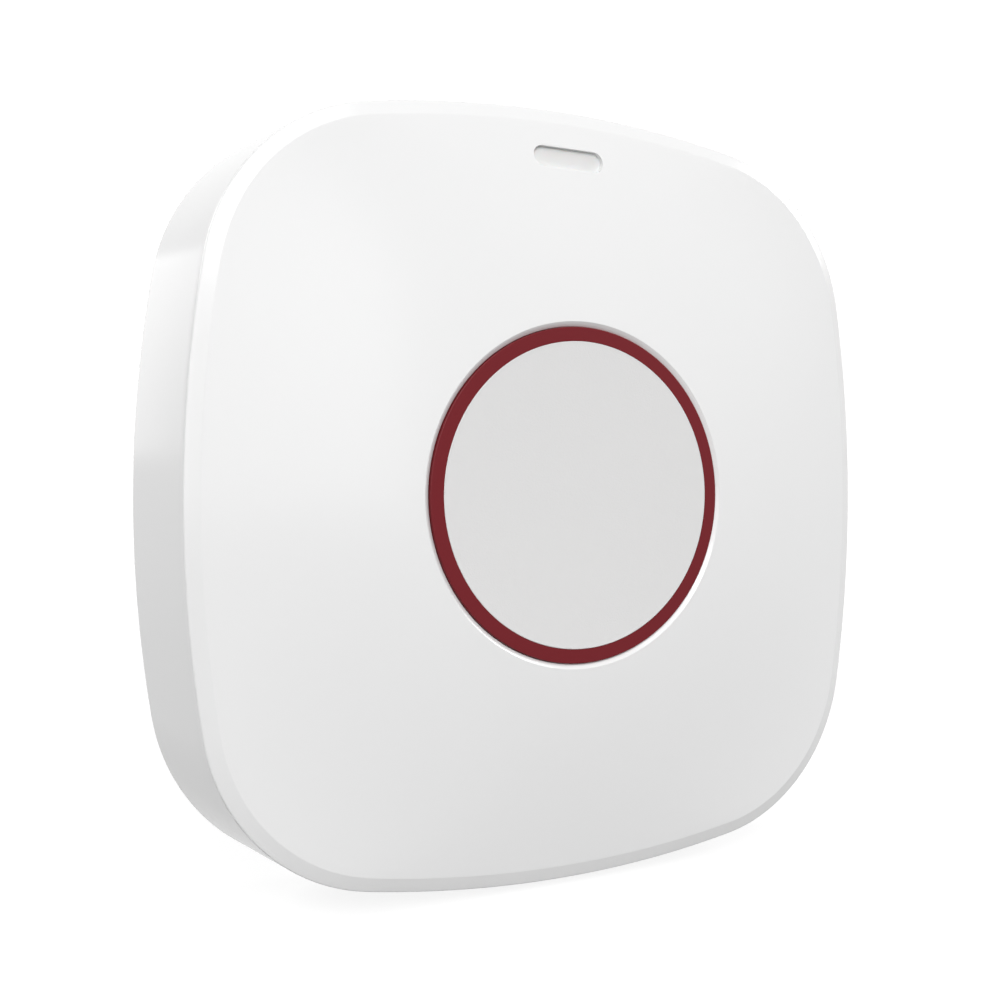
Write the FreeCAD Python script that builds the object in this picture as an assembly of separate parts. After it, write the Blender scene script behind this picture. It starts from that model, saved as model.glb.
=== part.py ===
import FreeCAD, Part
import math
import os

# A wireless panic button for a wall: a soft square housing with a pillowed face, a big round
# red button with a grey cap, and a small status window above it.
# Millimetres. +Z is up, the wall is the plane y = 0 and the face looks along -Y.
# "Depth" is the distance out from the wall, so a point at depth d has y = -d.

# Housing outline, taken across its back rim
WIDTH = 70.0
SIDE_BOW_RADIUS = 114.5
CORNER_RADIUS = 17.6

# Housing depth, from the wall to the rim of the button hole
RIM_LIFT = 0.3
SIDE_DEPTH = 13.24
SIDE_DRAFT = 0.7
BEVEL_WIDTH = 1.24
BEVEL_DEPTH = 0.5
FACE_RISE = 2.72
WALL = 1.8
FACE_ROUNDING = 1.6
FACE_RUN_RATIO = 1.1
FACE_POINTS = 11
HALVINGS = 40
ROOF_SIDES = 8

# Button hole, and the guides behind it for the button's ears
HOLE_RADIUS = 15.2
HOLE_STEP = 0.35
LAND_WALL = 2.16
GUIDE_WALL = 1.0
GUIDE_GAP = 0.2

# Button
BUTTON_GAP = 0.37
BUTTON_FIT = 0.07
BUTTON_DROP = 0.1
BUTTON_ROUND = 0.4
EAR_COUNT = 3
EAR_START = 30.0
EAR_REACH = 1.2
EAR_WIDTH = 5.0
EAR_THICKNESS = 1.0
CAP_RADIUS = 13.5
CAP_GAP = 0.04
CAP_THICKNESS = 1.3
CAP_DISH = 0.25
PLUNGER_RADIUS = 3.0
RIB_COUNT = 6
RIB_LENGTH = 13.5
RIB_THICKNESS = 1.0
RIB_HEIGHT = 0.7
BUTTON_TRAVEL = 0.5

# Return springs under the button
SPRING_COUNT = 3
SPRING_START = 90.0
RIB_START = 0.0
SPRING_CIRCLE = 10.5
SPRING_RADIUS = 1.7
SPRING_WIRE = 0.2
SPRING_TURNS = 3
WIRE_SIDES = 4
MARKS_PER_TURN = 8
SPIGOT_SIZE = 1.8
SPIGOT_HEIGHT = 0.8

# Status window
WINDOW_INSET = 5.14
WINDOW_LENGTH = 7.2
WINDOW_WIDTH = 1.9
LENS_RECESS = 0.55
LENS_GAP = 0.05
LENS_FLANGE = 0.5
LENS_FLANGE_THICKNESS = 0.6
CHIMNEY_WALL = 0.8
LED_GAP = 0.3

# Screw bosses in two corners that hold the halves of the housing together
BOSS_INSET = 13.5
BOSS_RADIUS = 2.8
GUSSET_LENGTH = 8.7
GUSSET_THICKNESS = 1.0
SCREW_RADIUS = 1.0
SCREW_HEAD_RADIUS = 2.0
SCREW_LENGTH = 7.0
SCREW_FIT = 0.02
DRIVE_WIDTH = 0.5
DRIVE_DEPTH = 0.6

# Rear cover
PLATE_THICKNESS = 2.0
REAR_THICKNESS = 1.4
REAR_GAP = 0.2
TAB_PLACE = 13.0
TAB_WIDTH = 6.0
TAB_THICKNESS = 1.2
TAB_HEIGHT = 1.8
POST_HEIGHT = 4.0
POST_SIZE = 3.0
POST_INSET = 14.5
POST_DROP = 4.0
ARM_WIDTH = 6.0
ARM_THICKNESS = 1.2
ARM_GAP = 0.1
ARM_NOSE = 0.8
ARM_NOSE_HEIGHT = 1.0

# Coin cell and its well in the rear cover
CELL_RADIUS = 10.0
CELL_THICKNESS = 3.2
CELL_STEP = 1.3
CELL_CAP_HEIGHT = 0.4
CELL_INSET = 19.4
CELL_BACK_GAP = 0.3
WELL_GAP = 0.5
WELL_WALL = 1.0
WELL_FLOOR = 0.8
CONTACT_RISE = 0.4
CONTACT_METAL = 0.25
CONTACT_WIDTH = 3.0
CONTACT_SPAN = 13.0
CONTACT_LEG_WIDTH = 1.6

# Circuit board
BOARD_INSET = 7.5
BOARD_THICKNESS = 1.0
BOARD_TAB_WIDTH = 12.0
BOARD_EDGE_GAP = 0.8
BOARD_CORNER_GAP = 0.8

# Press switch in the middle of the board
SWITCH_SIZE = 6.2
SWITCH_CORNER = 0.8
SWITCH_HEIGHT = 3.0
SWITCH_FLOOR = 1.2
SWITCH_PLATE = 0.3
STEM_RADIUS = 1.75
STEM_GAP = 0.08
STEM_PROUD = 1.0
STEM_SINK = 1.3
SWITCH_LEG_WIDTH = 0.7
SWITCH_LEG_METAL = 0.2
SWITCH_LEG_REACH = 1.2
SWITCH_LEG_PITCH = 4.5

# Parts soldered on the front of the board, each set in from an edge of the housing
CHIP_INSET = 20.0
CHIP_UP = 11.0
CHIP_SIZE = 6.0
CHIP_HEIGHT = 0.9
CHIP_CORNER = 0.35
SHIELD_SIDE_INSET = 23.5
SHIELD_TOP_INSET = 18.5
SHIELD_LENGTH = 11.0
SHIELD_WIDTH = 8.0
SHIELD_HEIGHT = 2.0
SHIELD_CORNER = 0.6
CRYSTAL_UP = 4.0
CRYSTAL_LENGTH = 3.2
CRYSTAL_WIDTH = 1.6
CRYSTAL_HEIGHT = 0.8
CRYSTAL_CORNER = 0.3
LED_LENGTH = 3.0
LED_WIDTH = 1.5
LED_HEIGHT = 0.7
LED_STEP = 0.3
CAPACITOR_SIDE = 3.0
CAPACITOR_INSET = 13.6
CAPACITOR_RADIUS = 2.0
CAPACITOR_LENGTH = 7.0
ANTENNA_WIRE = 0.4
ANTENNA_SIDES = 8
ANTENNA_INSET = 2.2
ANTENNA_RISE = 2.4
ANTENNA_FOOT = 8.0
ANTENNA_END = 17.0

# Tamper switch on the back of the board, whose pin feels the wall
TAMPER_INSET = 16.0
TAMPER_UP = 10.0
TAMPER_LENGTH = 6.0
TAMPER_WIDTH = 5.4
TAMPER_BODY = 3.6
TAMPER_LIP = 0.4
TAMPER_TOP = 0.4
PIN_SIZE = 2.6
PIN_FIT = 0.08
PIN_TIP_BEVEL = 0.5
PIN_COLLAR = 0.47
PIN_COLLAR_THICKNESS = 0.6
PIN_TAIL = 0.6
PIN_TAIL_SIZE = 1.4
PIN_PROUD = 1.0
PIN_HOLE_GAP = 0.35
TAMPER_SPRING_RADIUS = 1.4
TAMPER_SPRING_WIRE = 0.11
TAMPER_SPRING_TURNS = 4

# Wall plate
PLATE_INSET = 2.6
WALL_HOLE_INSET = 14.0
WALL_HOLE_RADIUS = 2.1
WALL_HOLE_SINK = 1.3
PAD_RECESS = 0.4
PAD_LENGTH = 30.0
PAD_HEIGHT = 12.0
PAD_INSET = 18.0
HOOK_SIDE = 12.0
HOOK_INSET = 8.8
HOOK_WIDTH = 6.0
HOOK_THICKNESS = 1.2
HOOK_NOSE = 1.2
HOOK_NOSE_THICKNESS = 1.1
HOOK_GAP = 0.1
SLOT_GAP = 0.3
LUG_WIDTH = 7.0
LUG_THICKNESS = 2.6
LUG_HEIGHT = 5.0
LUG_GAP = 1.5
NOTCH_GAP = 0.7

# Locking screw through the bottom of the housing into the lug
LOCK_RADIUS = 1.2
LOCK_HEAD_RADIUS = 2.2
LOCK_HEAD_HEIGHT = 1.3
LOCK_HEAD_BEVEL = 0.4
LOCK_HEAD_SINK = 0.15
LOCK_HEAD_GAP = 0.3
LOCK_SHANK_GAP = 0.2
LOCK_DEPTH_ABOVE_PLATE = 3.2
LOCK_END = 0.25
PAD_WIDTH = 9.0
PAD_THICKNESS = 0.65

# Depths that follow from the sizes above
HALF = WIDTH / 2
EDGE_DEPTH = RIM_LIFT + SIDE_DEPTH
SHOULDER_DEPTH = EDGE_DEPTH + BEVEL_DEPTH
HOLE_DEPTH = SHOULDER_DEPTH + FACE_RISE
LAND_DEPTH = HOLE_DEPTH - LAND_WALL
BUTTON_BACK = LAND_DEPTH - EAR_THICKNESS
BUTTON_FRONT = HOLE_DEPTH - BUTTON_DROP
CAP_SEAT = HOLE_DEPTH - CAP_THICKNESS
REAR_FRONT = PLATE_THICKNESS + REAR_THICKNESS
BOARD_BACK = REAR_FRONT + POST_HEIGHT
BOARD_FRONT = BOARD_BACK + BOARD_THICKNESS
SWITCH_FRONT = BOARD_FRONT + SWITCH_HEIGHT
STEM_FRONT = SWITCH_FRONT + SWITCH_PLATE + STEM_PROUD
CELL_BACK = PLATE_THICKNESS + CELL_BACK_GAP
CELL_FRONT = CELL_BACK + CELL_THICKNESS
WELL_FLOOR_BACK = CELL_FRONT + CONTACT_RISE
WELL_FRONT = WELL_FLOOR_BACK + WELL_FLOOR
LED_FRONT = BOARD_FRONT + LED_HEIGHT
TAMPER_BACK = BOARD_BACK - TAMPER_BODY
PIN_TIP = -PIN_PROUD
LOCK_DEPTH = PLATE_THICKNESS + LOCK_DEPTH_ABOVE_PLATE

# Half widths and radii that follow
SHOULDER_HALF = HALF - SIDE_DRAFT - BEVEL_WIDTH
FACE_RADIUS = (SHOULDER_HALF ** 2 - HOLE_RADIUS ** 2) / (2 * FACE_RISE)
BUTTON_RADIUS = HOLE_RADIUS - BUTTON_GAP
THROAT_RADIUS = BUTTON_RADIUS + BUTTON_FIT
SQUARENESS = SHOULDER_HALF / (SIDE_BOW_RADIUS - SIDE_DRAFT - BEVEL_WIDTH)
CEILING_DEPTH = HOLE_DEPTH - WALL
WELL_RADIUS = CELL_RADIUS + WELL_GAP
WELL_OUTER = WELL_RADIUS + WELL_WALL
BOARD_HALF = HALF - BOARD_INSET
BOSS_PLACE = HALF - BOSS_INSET
BOARD_CORNER = 2 * (BOARD_HALF - BOSS_PLACE) + (BOSS_RADIUS + BOARD_CORNER_GAP) * math.sqrt(2)
SMALL = 0.01

# Places, as x and z, that keep their distance from the housing's edges
WINDOW_HEIGHT_ON_FACE = HALF - WINDOW_INSET
CELL_HEIGHT_ON_FACE = CELL_INSET - HALF
POST_REACH = HALF - POST_INSET
POST_PLACES = ((-POST_REACH, 0.0), (POST_REACH, -POST_DROP), (0.0, POST_REACH))
CHIP_PLACE = (CHIP_INSET - HALF, CHIP_UP)
CRYSTAL_PLACE = (CHIP_INSET - HALF, CRYSTAL_UP)
SHIELD_PLACE = (HALF - SHIELD_SIDE_INSET, HALF - SHIELD_TOP_INSET)
CAPACITOR_PLACE = (-CAPACITOR_SIDE, CAPACITOR_INSET - HALF)
TAMPER_PLACE = (HALF - TAMPER_INSET, TAMPER_UP)
WALL_HOLE_SPACING = 2 * (HALF - WALL_HOLE_INSET)
PAD_PLACE = HALF - PAD_INSET
HOOK_PLACE = (HOOK_SIDE, HALF - HOOK_INSET)
OUT = FreeCAD.Vector(0, -1, 0)
UP = FreeCAD.Vector(0, 0, 1)


def place(x, depth, z):
    """A point from its place on the wall and its depth out from it."""
    return FreeCAD.Vector(x, -depth, z)


def rod(radius, low, high, x=0.0, z=0.0):
    """Round bar that stands out from the wall between two depths."""
    return Part.makeCylinder(radius, high - low, place(x, low, z), OUT)


def taper(low_radius, high_radius, low, high, x=0.0, z=0.0):
    """Cone between two depths."""
    return Part.makeCone(low_radius, high_radius, high - low, place(x, low, z), OUT)


def tube(outer, inner, low, high, x=0.0, z=0.0):
    """Round tube between two depths."""
    return rod(outer, low, high, x, z).cut(rod(inner, low, high, x, z))


def block(width, height, low, high, x=0.0, z=0.0):
    """Box of a width along X and a height along Z, centred on x and z, between two depths."""
    return Part.makeBox(width, high - low, height, place(x - width / 2, high, z - height / 2))


def depth_edges(shape):
    """Edges of a block that run straight out from the wall."""
    return [e for e in shape.Edges if abs(e.tangentAt(e.FirstParameter).y) > 1 - SMALL]


def stadium(length, width, low, high, x=0.0, z=0.0):
    """Bar with round ends, lying along X, between two depths."""
    reach = (length - width) / 2
    ends = [rod(width / 2, low, high, x + side * reach, z) for side in (-1, 1)]
    return block(2 * reach, width, low, high, x, z).multiFuse(ends).removeSplitter()


def turned(points, x=0.0, z=0.0):
    """Solid of revolution from radius and depth pairs."""
    corners = [place(x + radius, depth, z) for radius, depth in points]
    wire = Part.makePolygon(corners + corners[:1])
    return Part.Face(wire).revolve(place(x, 0, z), FreeCAD.Vector(0, 1, 0), 360)


def around(count, radius, start):
    """Places evenly spaced on a circle, as x, z and angle in degrees."""
    spots = []
    for index in range(count):
        angle = start + index * 360.0 / count
        turn = math.radians(angle)
        spots.append((radius * math.cos(turn), radius * math.sin(turn), angle))
    return spots


def corner_join():
    """Angle, in radians, at which each bowed side runs into its corner arc."""
    drop = SIDE_BOW_RADIUS - HALF
    swing = SIDE_BOW_RADIUS - CORNER_RADIUS
    centre = (math.sqrt(2 * swing ** 2 - drop ** 2) - drop) / 2
    return math.atan2(centre, centre + drop)


JOIN = corner_join()


def arc(centre, radius, start, end, quarter, depth):
    """One arc of an outline, in the plane at this depth, turned by quarters of a circle."""
    turn = quarter * math.pi / 2
    x = centre[0] * math.cos(turn) - centre[1] * math.sin(turn)
    z = centre[0] * math.sin(turn) + centre[1] * math.cos(turn)
    marks = [start + turn, (start + end) / 2 + turn, end + turn]
    points = [place(x + radius * math.cos(m), depth, z + radius * math.sin(m)) for m in marks]
    return Part.Arc(*points).toShape()


def corner_arc(half, bow):
    """Place of the centre, on both axes, and radius of a soft square's corner arcs."""
    lean = math.tan(JOIN)
    centre = (bow - half) * lean / (1 - lean)
    return centre, bow - centre / math.sin(JOIN)


def soft_square(half, bow, depth):
    """Closed outline of four bowed sides and four corner arcs that run into each other."""
    centre, corner = corner_arc(half, bow)
    edges = []
    for quarter in range(4):
        edges.append(arc((half - bow, 0), bow, -JOIN, JOIN, quarter, depth))
        edges.append(arc((centre, centre), corner, JOIN, math.pi / 2 - JOIN, quarter, depth))
    return Part.Wire(edges)


def outline(inset, depth):
    """The housing's outline, set in from the back rim's by the same amount all round."""
    return soft_square(HALF - inset, SIDE_BOW_RADIUS - inset, depth)


def slab(inset, low, high):
    """Straight-sided plate of the housing's outline, set in by this much."""
    return Part.Face(outline(inset, low)).extrude(OUT * (high - low))


def side_inset(depth):
    """How far the drafted side wall stands in from the back rim at a depth."""
    return SIDE_DRAFT * (depth - RIM_LIFT) / SIDE_DEPTH


def face_depth(half):
    """Depth of the pillowed face where its outline has this half width."""
    return SHOULDER_DEPTH + (SHOULDER_HALF ** 2 - half ** 2) / (2 * FACE_RADIUS)


def face_bow(half):
    """Bow of a level line of the face: the housing's at the bevel, easing to a circle at the hole."""
    run = min(FACE_RUN_RATIO, max(0.0, (half - HOLE_RADIUS) / (SHOULDER_HALF - HOLE_RADIUS)))
    return half / (1 - (1 - SQUARENESS) * run ** FACE_ROUNDING)


def outside(half, x, z):
    """Whether a point lies outside the face's level line of this half width."""
    bow = face_bow(half)
    centre, corner = corner_arc(half, bow)
    far, near = max(abs(x), abs(z)), min(abs(x), abs(z))
    if math.atan2(near, far - half + bow) <= JOIN:
        return math.hypot(far - half + bow, near) > bow
    return math.hypot(far - centre, near - centre) > corner


def face_half(x, z):
    """Half width of the level line of the face through a point, found by halving a range."""
    low, high = SMALL, 2 * WIDTH
    for _ in range(HALVINGS):
        middle = (low + high) / 2
        if outside(middle, x, z):
            low = middle
        else:
            high = middle
    return high


def under_face():
    """Everything behind the pillowed face, whose surface runs through a square net of points."""
    reach = HALF + WALL
    marks = [reach * (2 * index / (FACE_POINTS - 1) - 1) for index in range(FACE_POINTS)]
    net = [[place(x, face_depth(face_half(x, z)), z) for z in marks] for x in marks]
    face = Part.BSplineSurface()
    face.interpolate(net)
    return face.toShape().extrude(OUT * -2 * HOLE_DEPTH)


def housing_body():
    """Outer form of the front cover as a solid: drafted sides, bevel and pillowed face."""
    run_on = 1 + (FACE_RISE + HOLE_STEP) / BEVEL_DEPTH
    levels = [outline(0, RIM_LIFT), outline(SIDE_DRAFT, EDGE_DEPTH),
              outline(SIDE_DRAFT + BEVEL_WIDTH * run_on, EDGE_DEPTH + BEVEL_DEPTH * run_on)]
    return Part.makeLoft(levels, True, True).common(under_face())


def roof_corners(apothem, depth):
    """Corners of a regular outline, one of its sides square to each side of the housing."""
    reach = apothem / math.cos(math.pi / ROOF_SIDES)
    return [place(x, depth, z) for x, z, angle in around(ROOF_SIDES, reach, 180.0 / ROOF_SIDES)]


def roof():
    """Solid under a low roof of flat sides that rises to the button hole."""
    slope = FACE_RISE / (SHOULDER_HALF - HOLE_RADIUS)
    eave = roof_corners(HOLE_RADIUS + CEILING_DEPTH / slope, 0)
    crown = roof_corners(HOLE_RADIUS, CEILING_DEPTH)
    outlines = [eave, crown]
    for corner in range(ROOF_SIDES):
        outlines.append([eave[corner - 1], eave[corner], crown[corner], crown[corner - 1]])
    faces = [Part.Face(Part.makePolygon(points + points[:1])) for points in outlines]
    solid = Part.Solid(Part.Shell(faces))
    if solid.Volume < 0:
        solid.reverse()
    return solid


def cavity():
    """Room inside the front cover: drafted sides under the low roof."""
    foot = outline(WALL + side_inset(0), 0)
    top = outline(WALL + side_inset(HOLE_DEPTH), HOLE_DEPTH)
    return Part.makeLoft([foot, top], True, True).common(roof())


def button_hole():
    """Cutter for the button hole: a throat that guides the button, wider in a shallow step at the face."""
    step, front = HOLE_DEPTH - HOLE_STEP, HOLE_DEPTH + HOLE_STEP
    profile = [
        (0, guide_foot()), (THROAT_RADIUS, guide_foot()), (THROAT_RADIUS, step),
        (HOLE_RADIUS, step), (HOLE_RADIUS, front), (0, front),
    ]
    return turned(profile)


def guide_foot():
    """Depth down to which the guides follow the button's ears."""
    return BUTTON_BACK - BUTTON_TRAVEL


def ear_places():
    """Places on the hole's edge, with their angles, where the button's ears hold it."""
    return around(EAR_COUNT, HOLE_RADIUS, EAR_START)


def ear(low, high, grow):
    """Three blocks across the hole's edge, grown on the outer side and both flanks."""
    shapes = []
    for x, z, angle in ear_places():
        bar = block(2 * (EAR_REACH + grow), EAR_WIDTH + 2 * grow, low, high, HOLE_RADIUS, 0)
        bar.rotate(FreeCAD.Vector(0, 0, 0), OUT, angle)
        shapes.append(bar)
    return shapes


def ear_guides():
    """U-shaped blocks behind the hole: a flat stop for each ear and a wall on either side."""
    foot = guide_foot()
    walls = ear(foot, HOLE_DEPTH - WALL / 2, GUIDE_GAP + GUIDE_WALL)
    slots = ear(foot, LAND_DEPTH, GUIDE_GAP)
    return [wall.cut(slot) for wall, slot in zip(walls, slots)]


def boss_places():
    """The two opposite corners where screws join the halves of the housing."""
    return [(side * BOSS_PLACE, -side * BOSS_PLACE) for side in (-1, 1)]


def bosses():
    """Two screw bosses with a gusset from each to the corner of the housing."""
    shapes = []
    for x, z in boss_places():
        shapes.append(rod(BOSS_RADIUS, REAR_FRONT, EDGE_DEPTH, x, z))
        gusset = block(GUSSET_LENGTH, GUSSET_THICKNESS, BOARD_BACK, EDGE_DEPTH, GUSSET_LENGTH / 2, 0)
        gusset.rotate(FreeCAD.Vector(0, 0, 0), OUT, math.degrees(math.atan2(z, x)))
        gusset.translate(FreeCAD.Vector(x, 0, z))
        shapes.append(gusset)
    return shapes


def chimney():
    """Short duct behind the status window that holds the lens."""
    grow = 2 * (CHIMNEY_WALL + LENS_GAP)
    foot = lens_flange_back() - LENS_FLANGE_THICKNESS
    length = WINDOW_LENGTH + 2 * LENS_FLANGE + grow
    width = WINDOW_WIDTH + 2 * LENS_FLANGE + grow
    return block(length, width, foot, EDGE_DEPTH, 0, WINDOW_HEIGHT_ON_FACE)


def lens_flange_front():
    """Depth where the lens's flange meets the inside of the front wall."""
    return face_depth(WINDOW_HEIGHT_ON_FACE + WINDOW_WIDTH / 2 + LENS_FLANGE) - WALL


def lens_flange_back():
    """Depth of the back of the lens's flange."""
    return lens_flange_front() - LENS_FLANGE_THICKNESS


def lens_front():
    """Depth of the lens's front, sunk below the middle of the window."""
    return face_depth(WINDOW_HEIGHT_ON_FACE) - LENS_RECESS


def lock_floor():
    """Z of the seat under the locking screw's head."""
    return -(HALF - side_inset(LOCK_DEPTH)) + LOCK_HEAD_SINK + LOCK_HEAD_HEIGHT


def pad_top():
    """Z of the inner face of the thickened wall round the locking screw."""
    return -(HALF - side_inset(LOCK_DEPTH)) + WALL + PAD_THICKNESS


def upright(radius, low, high, gap=0.0):
    """Round bar along Z on the locking screw's axis."""
    return Part.makeCylinder(radius + gap, high - low, place(0, LOCK_DEPTH, low), UP)


def lock_pad():
    """Thicker patch of the bottom wall that takes the locking screw."""
    reach = LOCK_DEPTH_ABOVE_PLATE - REAR_GAP
    height = WALL / 2 + PAD_THICKNESS
    return block(PAD_WIDTH, height, LOCK_DEPTH - reach, LOCK_DEPTH + reach, 0, pad_top() - height / 2)


def front_cover():
    """Moulded front shell: pillowed face, bevel, sides, ear guides, bosses and window duct."""
    shell = housing_body().cut(cavity())
    shell = shell.multiFuse([chimney(), lock_pad()] + ear_guides() + bosses())
    flange = 2 * (LENS_FLANGE + LENS_GAP)
    room = WINDOW_LENGTH + flange, WINDOW_WIDTH + flange
    cutters = [button_hole()]
    cutters.append(stadium(WINDOW_LENGTH, WINDOW_WIDTH, LED_FRONT, HOLE_DEPTH, 0, WINDOW_HEIGHT_ON_FACE))
    cutters.append(block(*room, LED_FRONT, lens_flange_front(), 0, WINDOW_HEIGHT_ON_FACE))
    for x, z in boss_places():
        cutters.append(rod(SCREW_RADIUS + SCREW_FIT, RIM_LIFT, PLATE_THICKNESS + SCREW_LENGTH, x, z))
    cutters.append(upright(LOCK_RADIUS, -HALF, pad_top() + WALL, LOCK_SHANK_GAP))
    cutters.append(upright(LOCK_HEAD_RADIUS, -HALF - WALL, lock_floor(), LOCK_HEAD_GAP))
    for cutter in cutters:
        shell = shell.cut(cutter)
    return shell


def spring_places():
    """Where the return springs stand, between the board and the button."""
    return around(SPRING_COUNT, SPRING_CIRCLE, SPRING_START)


def button_body():
    """Red button: ring, seat for the cap, three ears, plunger, ribs and spring spigots."""
    profile = [
        (0, CAP_SEAT), (CAP_RADIUS, CAP_SEAT), (CAP_RADIUS, BUTTON_FRONT),
        (BUTTON_RADIUS - BUTTON_ROUND, BUTTON_FRONT), (BUTTON_RADIUS, BUTTON_FRONT - BUTTON_ROUND),
        (BUTTON_RADIUS, BUTTON_BACK), (0, BUTTON_BACK),
    ]
    added = ear(BUTTON_BACK, LAND_DEPTH, 0)
    added.append(rod(PLUNGER_RADIUS, STEM_FRONT, BUTTON_BACK))
    for x, z, angle in around(RIB_COUNT, RIB_LENGTH / 2, RIB_START):
        rib = block(RIB_LENGTH, RIB_THICKNESS, BUTTON_BACK - RIB_HEIGHT, BUTTON_BACK, RIB_LENGTH / 2, 0)
        rib.rotate(FreeCAD.Vector(0, 0, 0), OUT, angle)
        added.append(rib)
    for x, z, angle in spring_places():
        added.append(block(SPIGOT_SIZE, SPIGOT_SIZE, BUTTON_BACK - SPIGOT_HEIGHT, BUTTON_BACK, x, z))
    return turned(profile).multiFuse(added).removeSplitter()


def on_circle(edge, radius, depth):
    """Whether an edge is the circle of this radius about the button's axis at this depth."""
    curve = edge.Curve
    return isinstance(curve, Part.Circle) and abs(curve.Radius - radius) < SMALL \
        and abs(curve.Center.y + depth) < SMALL


def button_cap():
    """Grey cap pressed into the button, its face slightly dished."""
    radius = CAP_RADIUS - CAP_GAP
    dish = (radius ** 2 + CAP_DISH ** 2) / (2 * CAP_DISH)
    ball = Part.makeSphere(dish, place(0, HOLE_DEPTH - CAP_DISH + dish, 0), UP)
    return rod(radius, CAP_SEAT, HOLE_DEPTH + CAP_DISH).cut(ball)


def coil(radius, wire, low, high, turns, x, z):
    """Compression spring between two depths, its wire drawn as a bar in short straight runs."""
    pitch = (high - low - 2 * wire) / turns
    rings = []
    for mark in range(turns * MARKS_PER_TURN + 1):
        turn = 2 * math.pi * mark / MARKS_PER_TURN
        middle = low + wire + pitch * mark / MARKS_PER_TURN
        ring = []
        for side in range(WIRE_SIDES):
            lean = 2 * math.pi * side / WIRE_SIDES
            reach = radius + wire * math.cos(lean)
            depth = middle + wire * math.sin(lean)
            ring.append(place(x + reach * math.cos(turn), depth, z + reach * math.sin(turn)))
        rings.append(ring)
    faces = [Part.Face(Part.makePolygon(ring + ring[:1])) for ring in (rings[0], rings[-1])]
    for ring, after in zip(rings, rings[1:]):
        runs = [Part.makeLine(a, b) for a, b in zip(ring, after)]
        faces += [Part.makeRuledSurface(a, b) for a, b in zip(runs, runs[1:] + runs[:1])]
    shell = Part.Shell(faces)
    shell.sewShape()
    spring = Part.Solid(shell)
    if spring.Volume < 0:
        spring.reverse()
    return spring


def return_spring(index):
    """One of the springs that push the button back out."""
    x, z, angle = spring_places()[index]
    return coil(SPRING_RADIUS, SPRING_WIRE, BOARD_FRONT, BUTTON_BACK, SPRING_TURNS, x, z)


def status_lens():
    """Clear light guide: a round-ended bar in the window with a square flange behind the wall."""
    gap = 2 * LENS_GAP
    size = WINDOW_LENGTH - gap, WINDOW_WIDTH - gap
    flange = WINDOW_LENGTH + 2 * LENS_FLANGE, WINDOW_WIDTH + 2 * LENS_FLANGE
    bar = stadium(*size, LED_FRONT + LED_GAP, lens_front(), 0, WINDOW_HEIGHT_ON_FACE)
    back, front = lens_flange_back(), lens_flange_front()
    return bar.fuse(block(*flange, back, front, 0, WINDOW_HEIGHT_ON_FACE))


def status_led():
    """Small surface-mounted lamp under the light guide: a base with a narrower clear top."""
    x, z = 0, WINDOW_HEIGHT_ON_FACE
    step = BOARD_FRONT + LED_HEIGHT / 2
    base = block(LED_LENGTH, LED_WIDTH, BOARD_FRONT, step, x, z)
    top = block(LED_LENGTH - 2 * LED_STEP, LED_WIDTH - LED_STEP, step, LED_FRONT, x, z)
    return base.fuse(top)


def circuit_board():
    """Square board with cut corners, a tab for the lamp and slots for the cell's contacts."""
    board = block(2 * BOARD_HALF, 2 * BOARD_HALF, BOARD_BACK, BOARD_FRONT)
    board = board.makeChamfer(BOARD_CORNER, depth_edges(board))
    top = HALF - WALL - side_inset(BOARD_FRONT) - BOARD_EDGE_GAP
    tab = block(BOARD_TAB_WIDTH, top, BOARD_BACK, BOARD_FRONT, 0, top / 2)
    board = board.fuse(tab).removeSplitter()
    for x in (contact_leg_place(), -contact_leg_place()):
        board = board.cut(leg_at(x, BOARD_BACK, BOARD_FRONT, SCREW_FIT))
    return board


def switch_base():
    """Moulded base of the press switch, with a well for the stem and four folded legs."""
    base = block(SWITCH_SIZE, SWITCH_SIZE, BOARD_FRONT, SWITCH_FRONT)
    base = base.makeChamfer(SWITCH_CORNER, depth_edges(base))
    return base.cut(rod(STEM_RADIUS + STEM_GAP, BOARD_FRONT + SWITCH_FLOOR, SWITCH_FRONT))


def switch_legs():
    """Four tinned legs that hold the press switch to the board."""
    legs = []
    for side in (-1, 1):
        for place_z in (-SWITCH_LEG_PITCH / 2, SWITCH_LEG_PITCH / 2):
            x = side * (SWITCH_SIZE / 2 + SWITCH_LEG_REACH / 2)
            foot = block(SWITCH_LEG_REACH, SWITCH_LEG_WIDTH, BOARD_FRONT,
                         BOARD_FRONT + SWITCH_LEG_METAL, x, place_z)
            rise_x = side * (SWITCH_SIZE + SWITCH_LEG_METAL) / 2
            rise = block(SWITCH_LEG_METAL, SWITCH_LEG_WIDTH, BOARD_FRONT,
                         BOARD_FRONT + SWITCH_FLOOR, rise_x, place_z)
            legs.append(foot.fuse(rise).removeSplitter())
    return Part.makeCompound(legs)


def switch_plate():
    """Steel plate that closes the press switch round its stem."""
    plate = block(SWITCH_SIZE, SWITCH_SIZE, SWITCH_FRONT, SWITCH_FRONT + SWITCH_PLATE)
    plate = plate.makeChamfer(SWITCH_CORNER, depth_edges(plate))
    return plate.cut(rod(STEM_RADIUS + STEM_GAP, SWITCH_FRONT, SWITCH_FRONT + SWITCH_PLATE))


def switch_stem():
    """Stem of the press switch, which the button's plunger rests on."""
    stem = rod(STEM_RADIUS, SWITCH_FRONT - STEM_SINK, STEM_FRONT)
    tip = [e for e in stem.Edges if on_circle(e, STEM_RADIUS, STEM_FRONT)]
    return stem.makeChamfer(STEM_PROUD / 4, tip)


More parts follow.
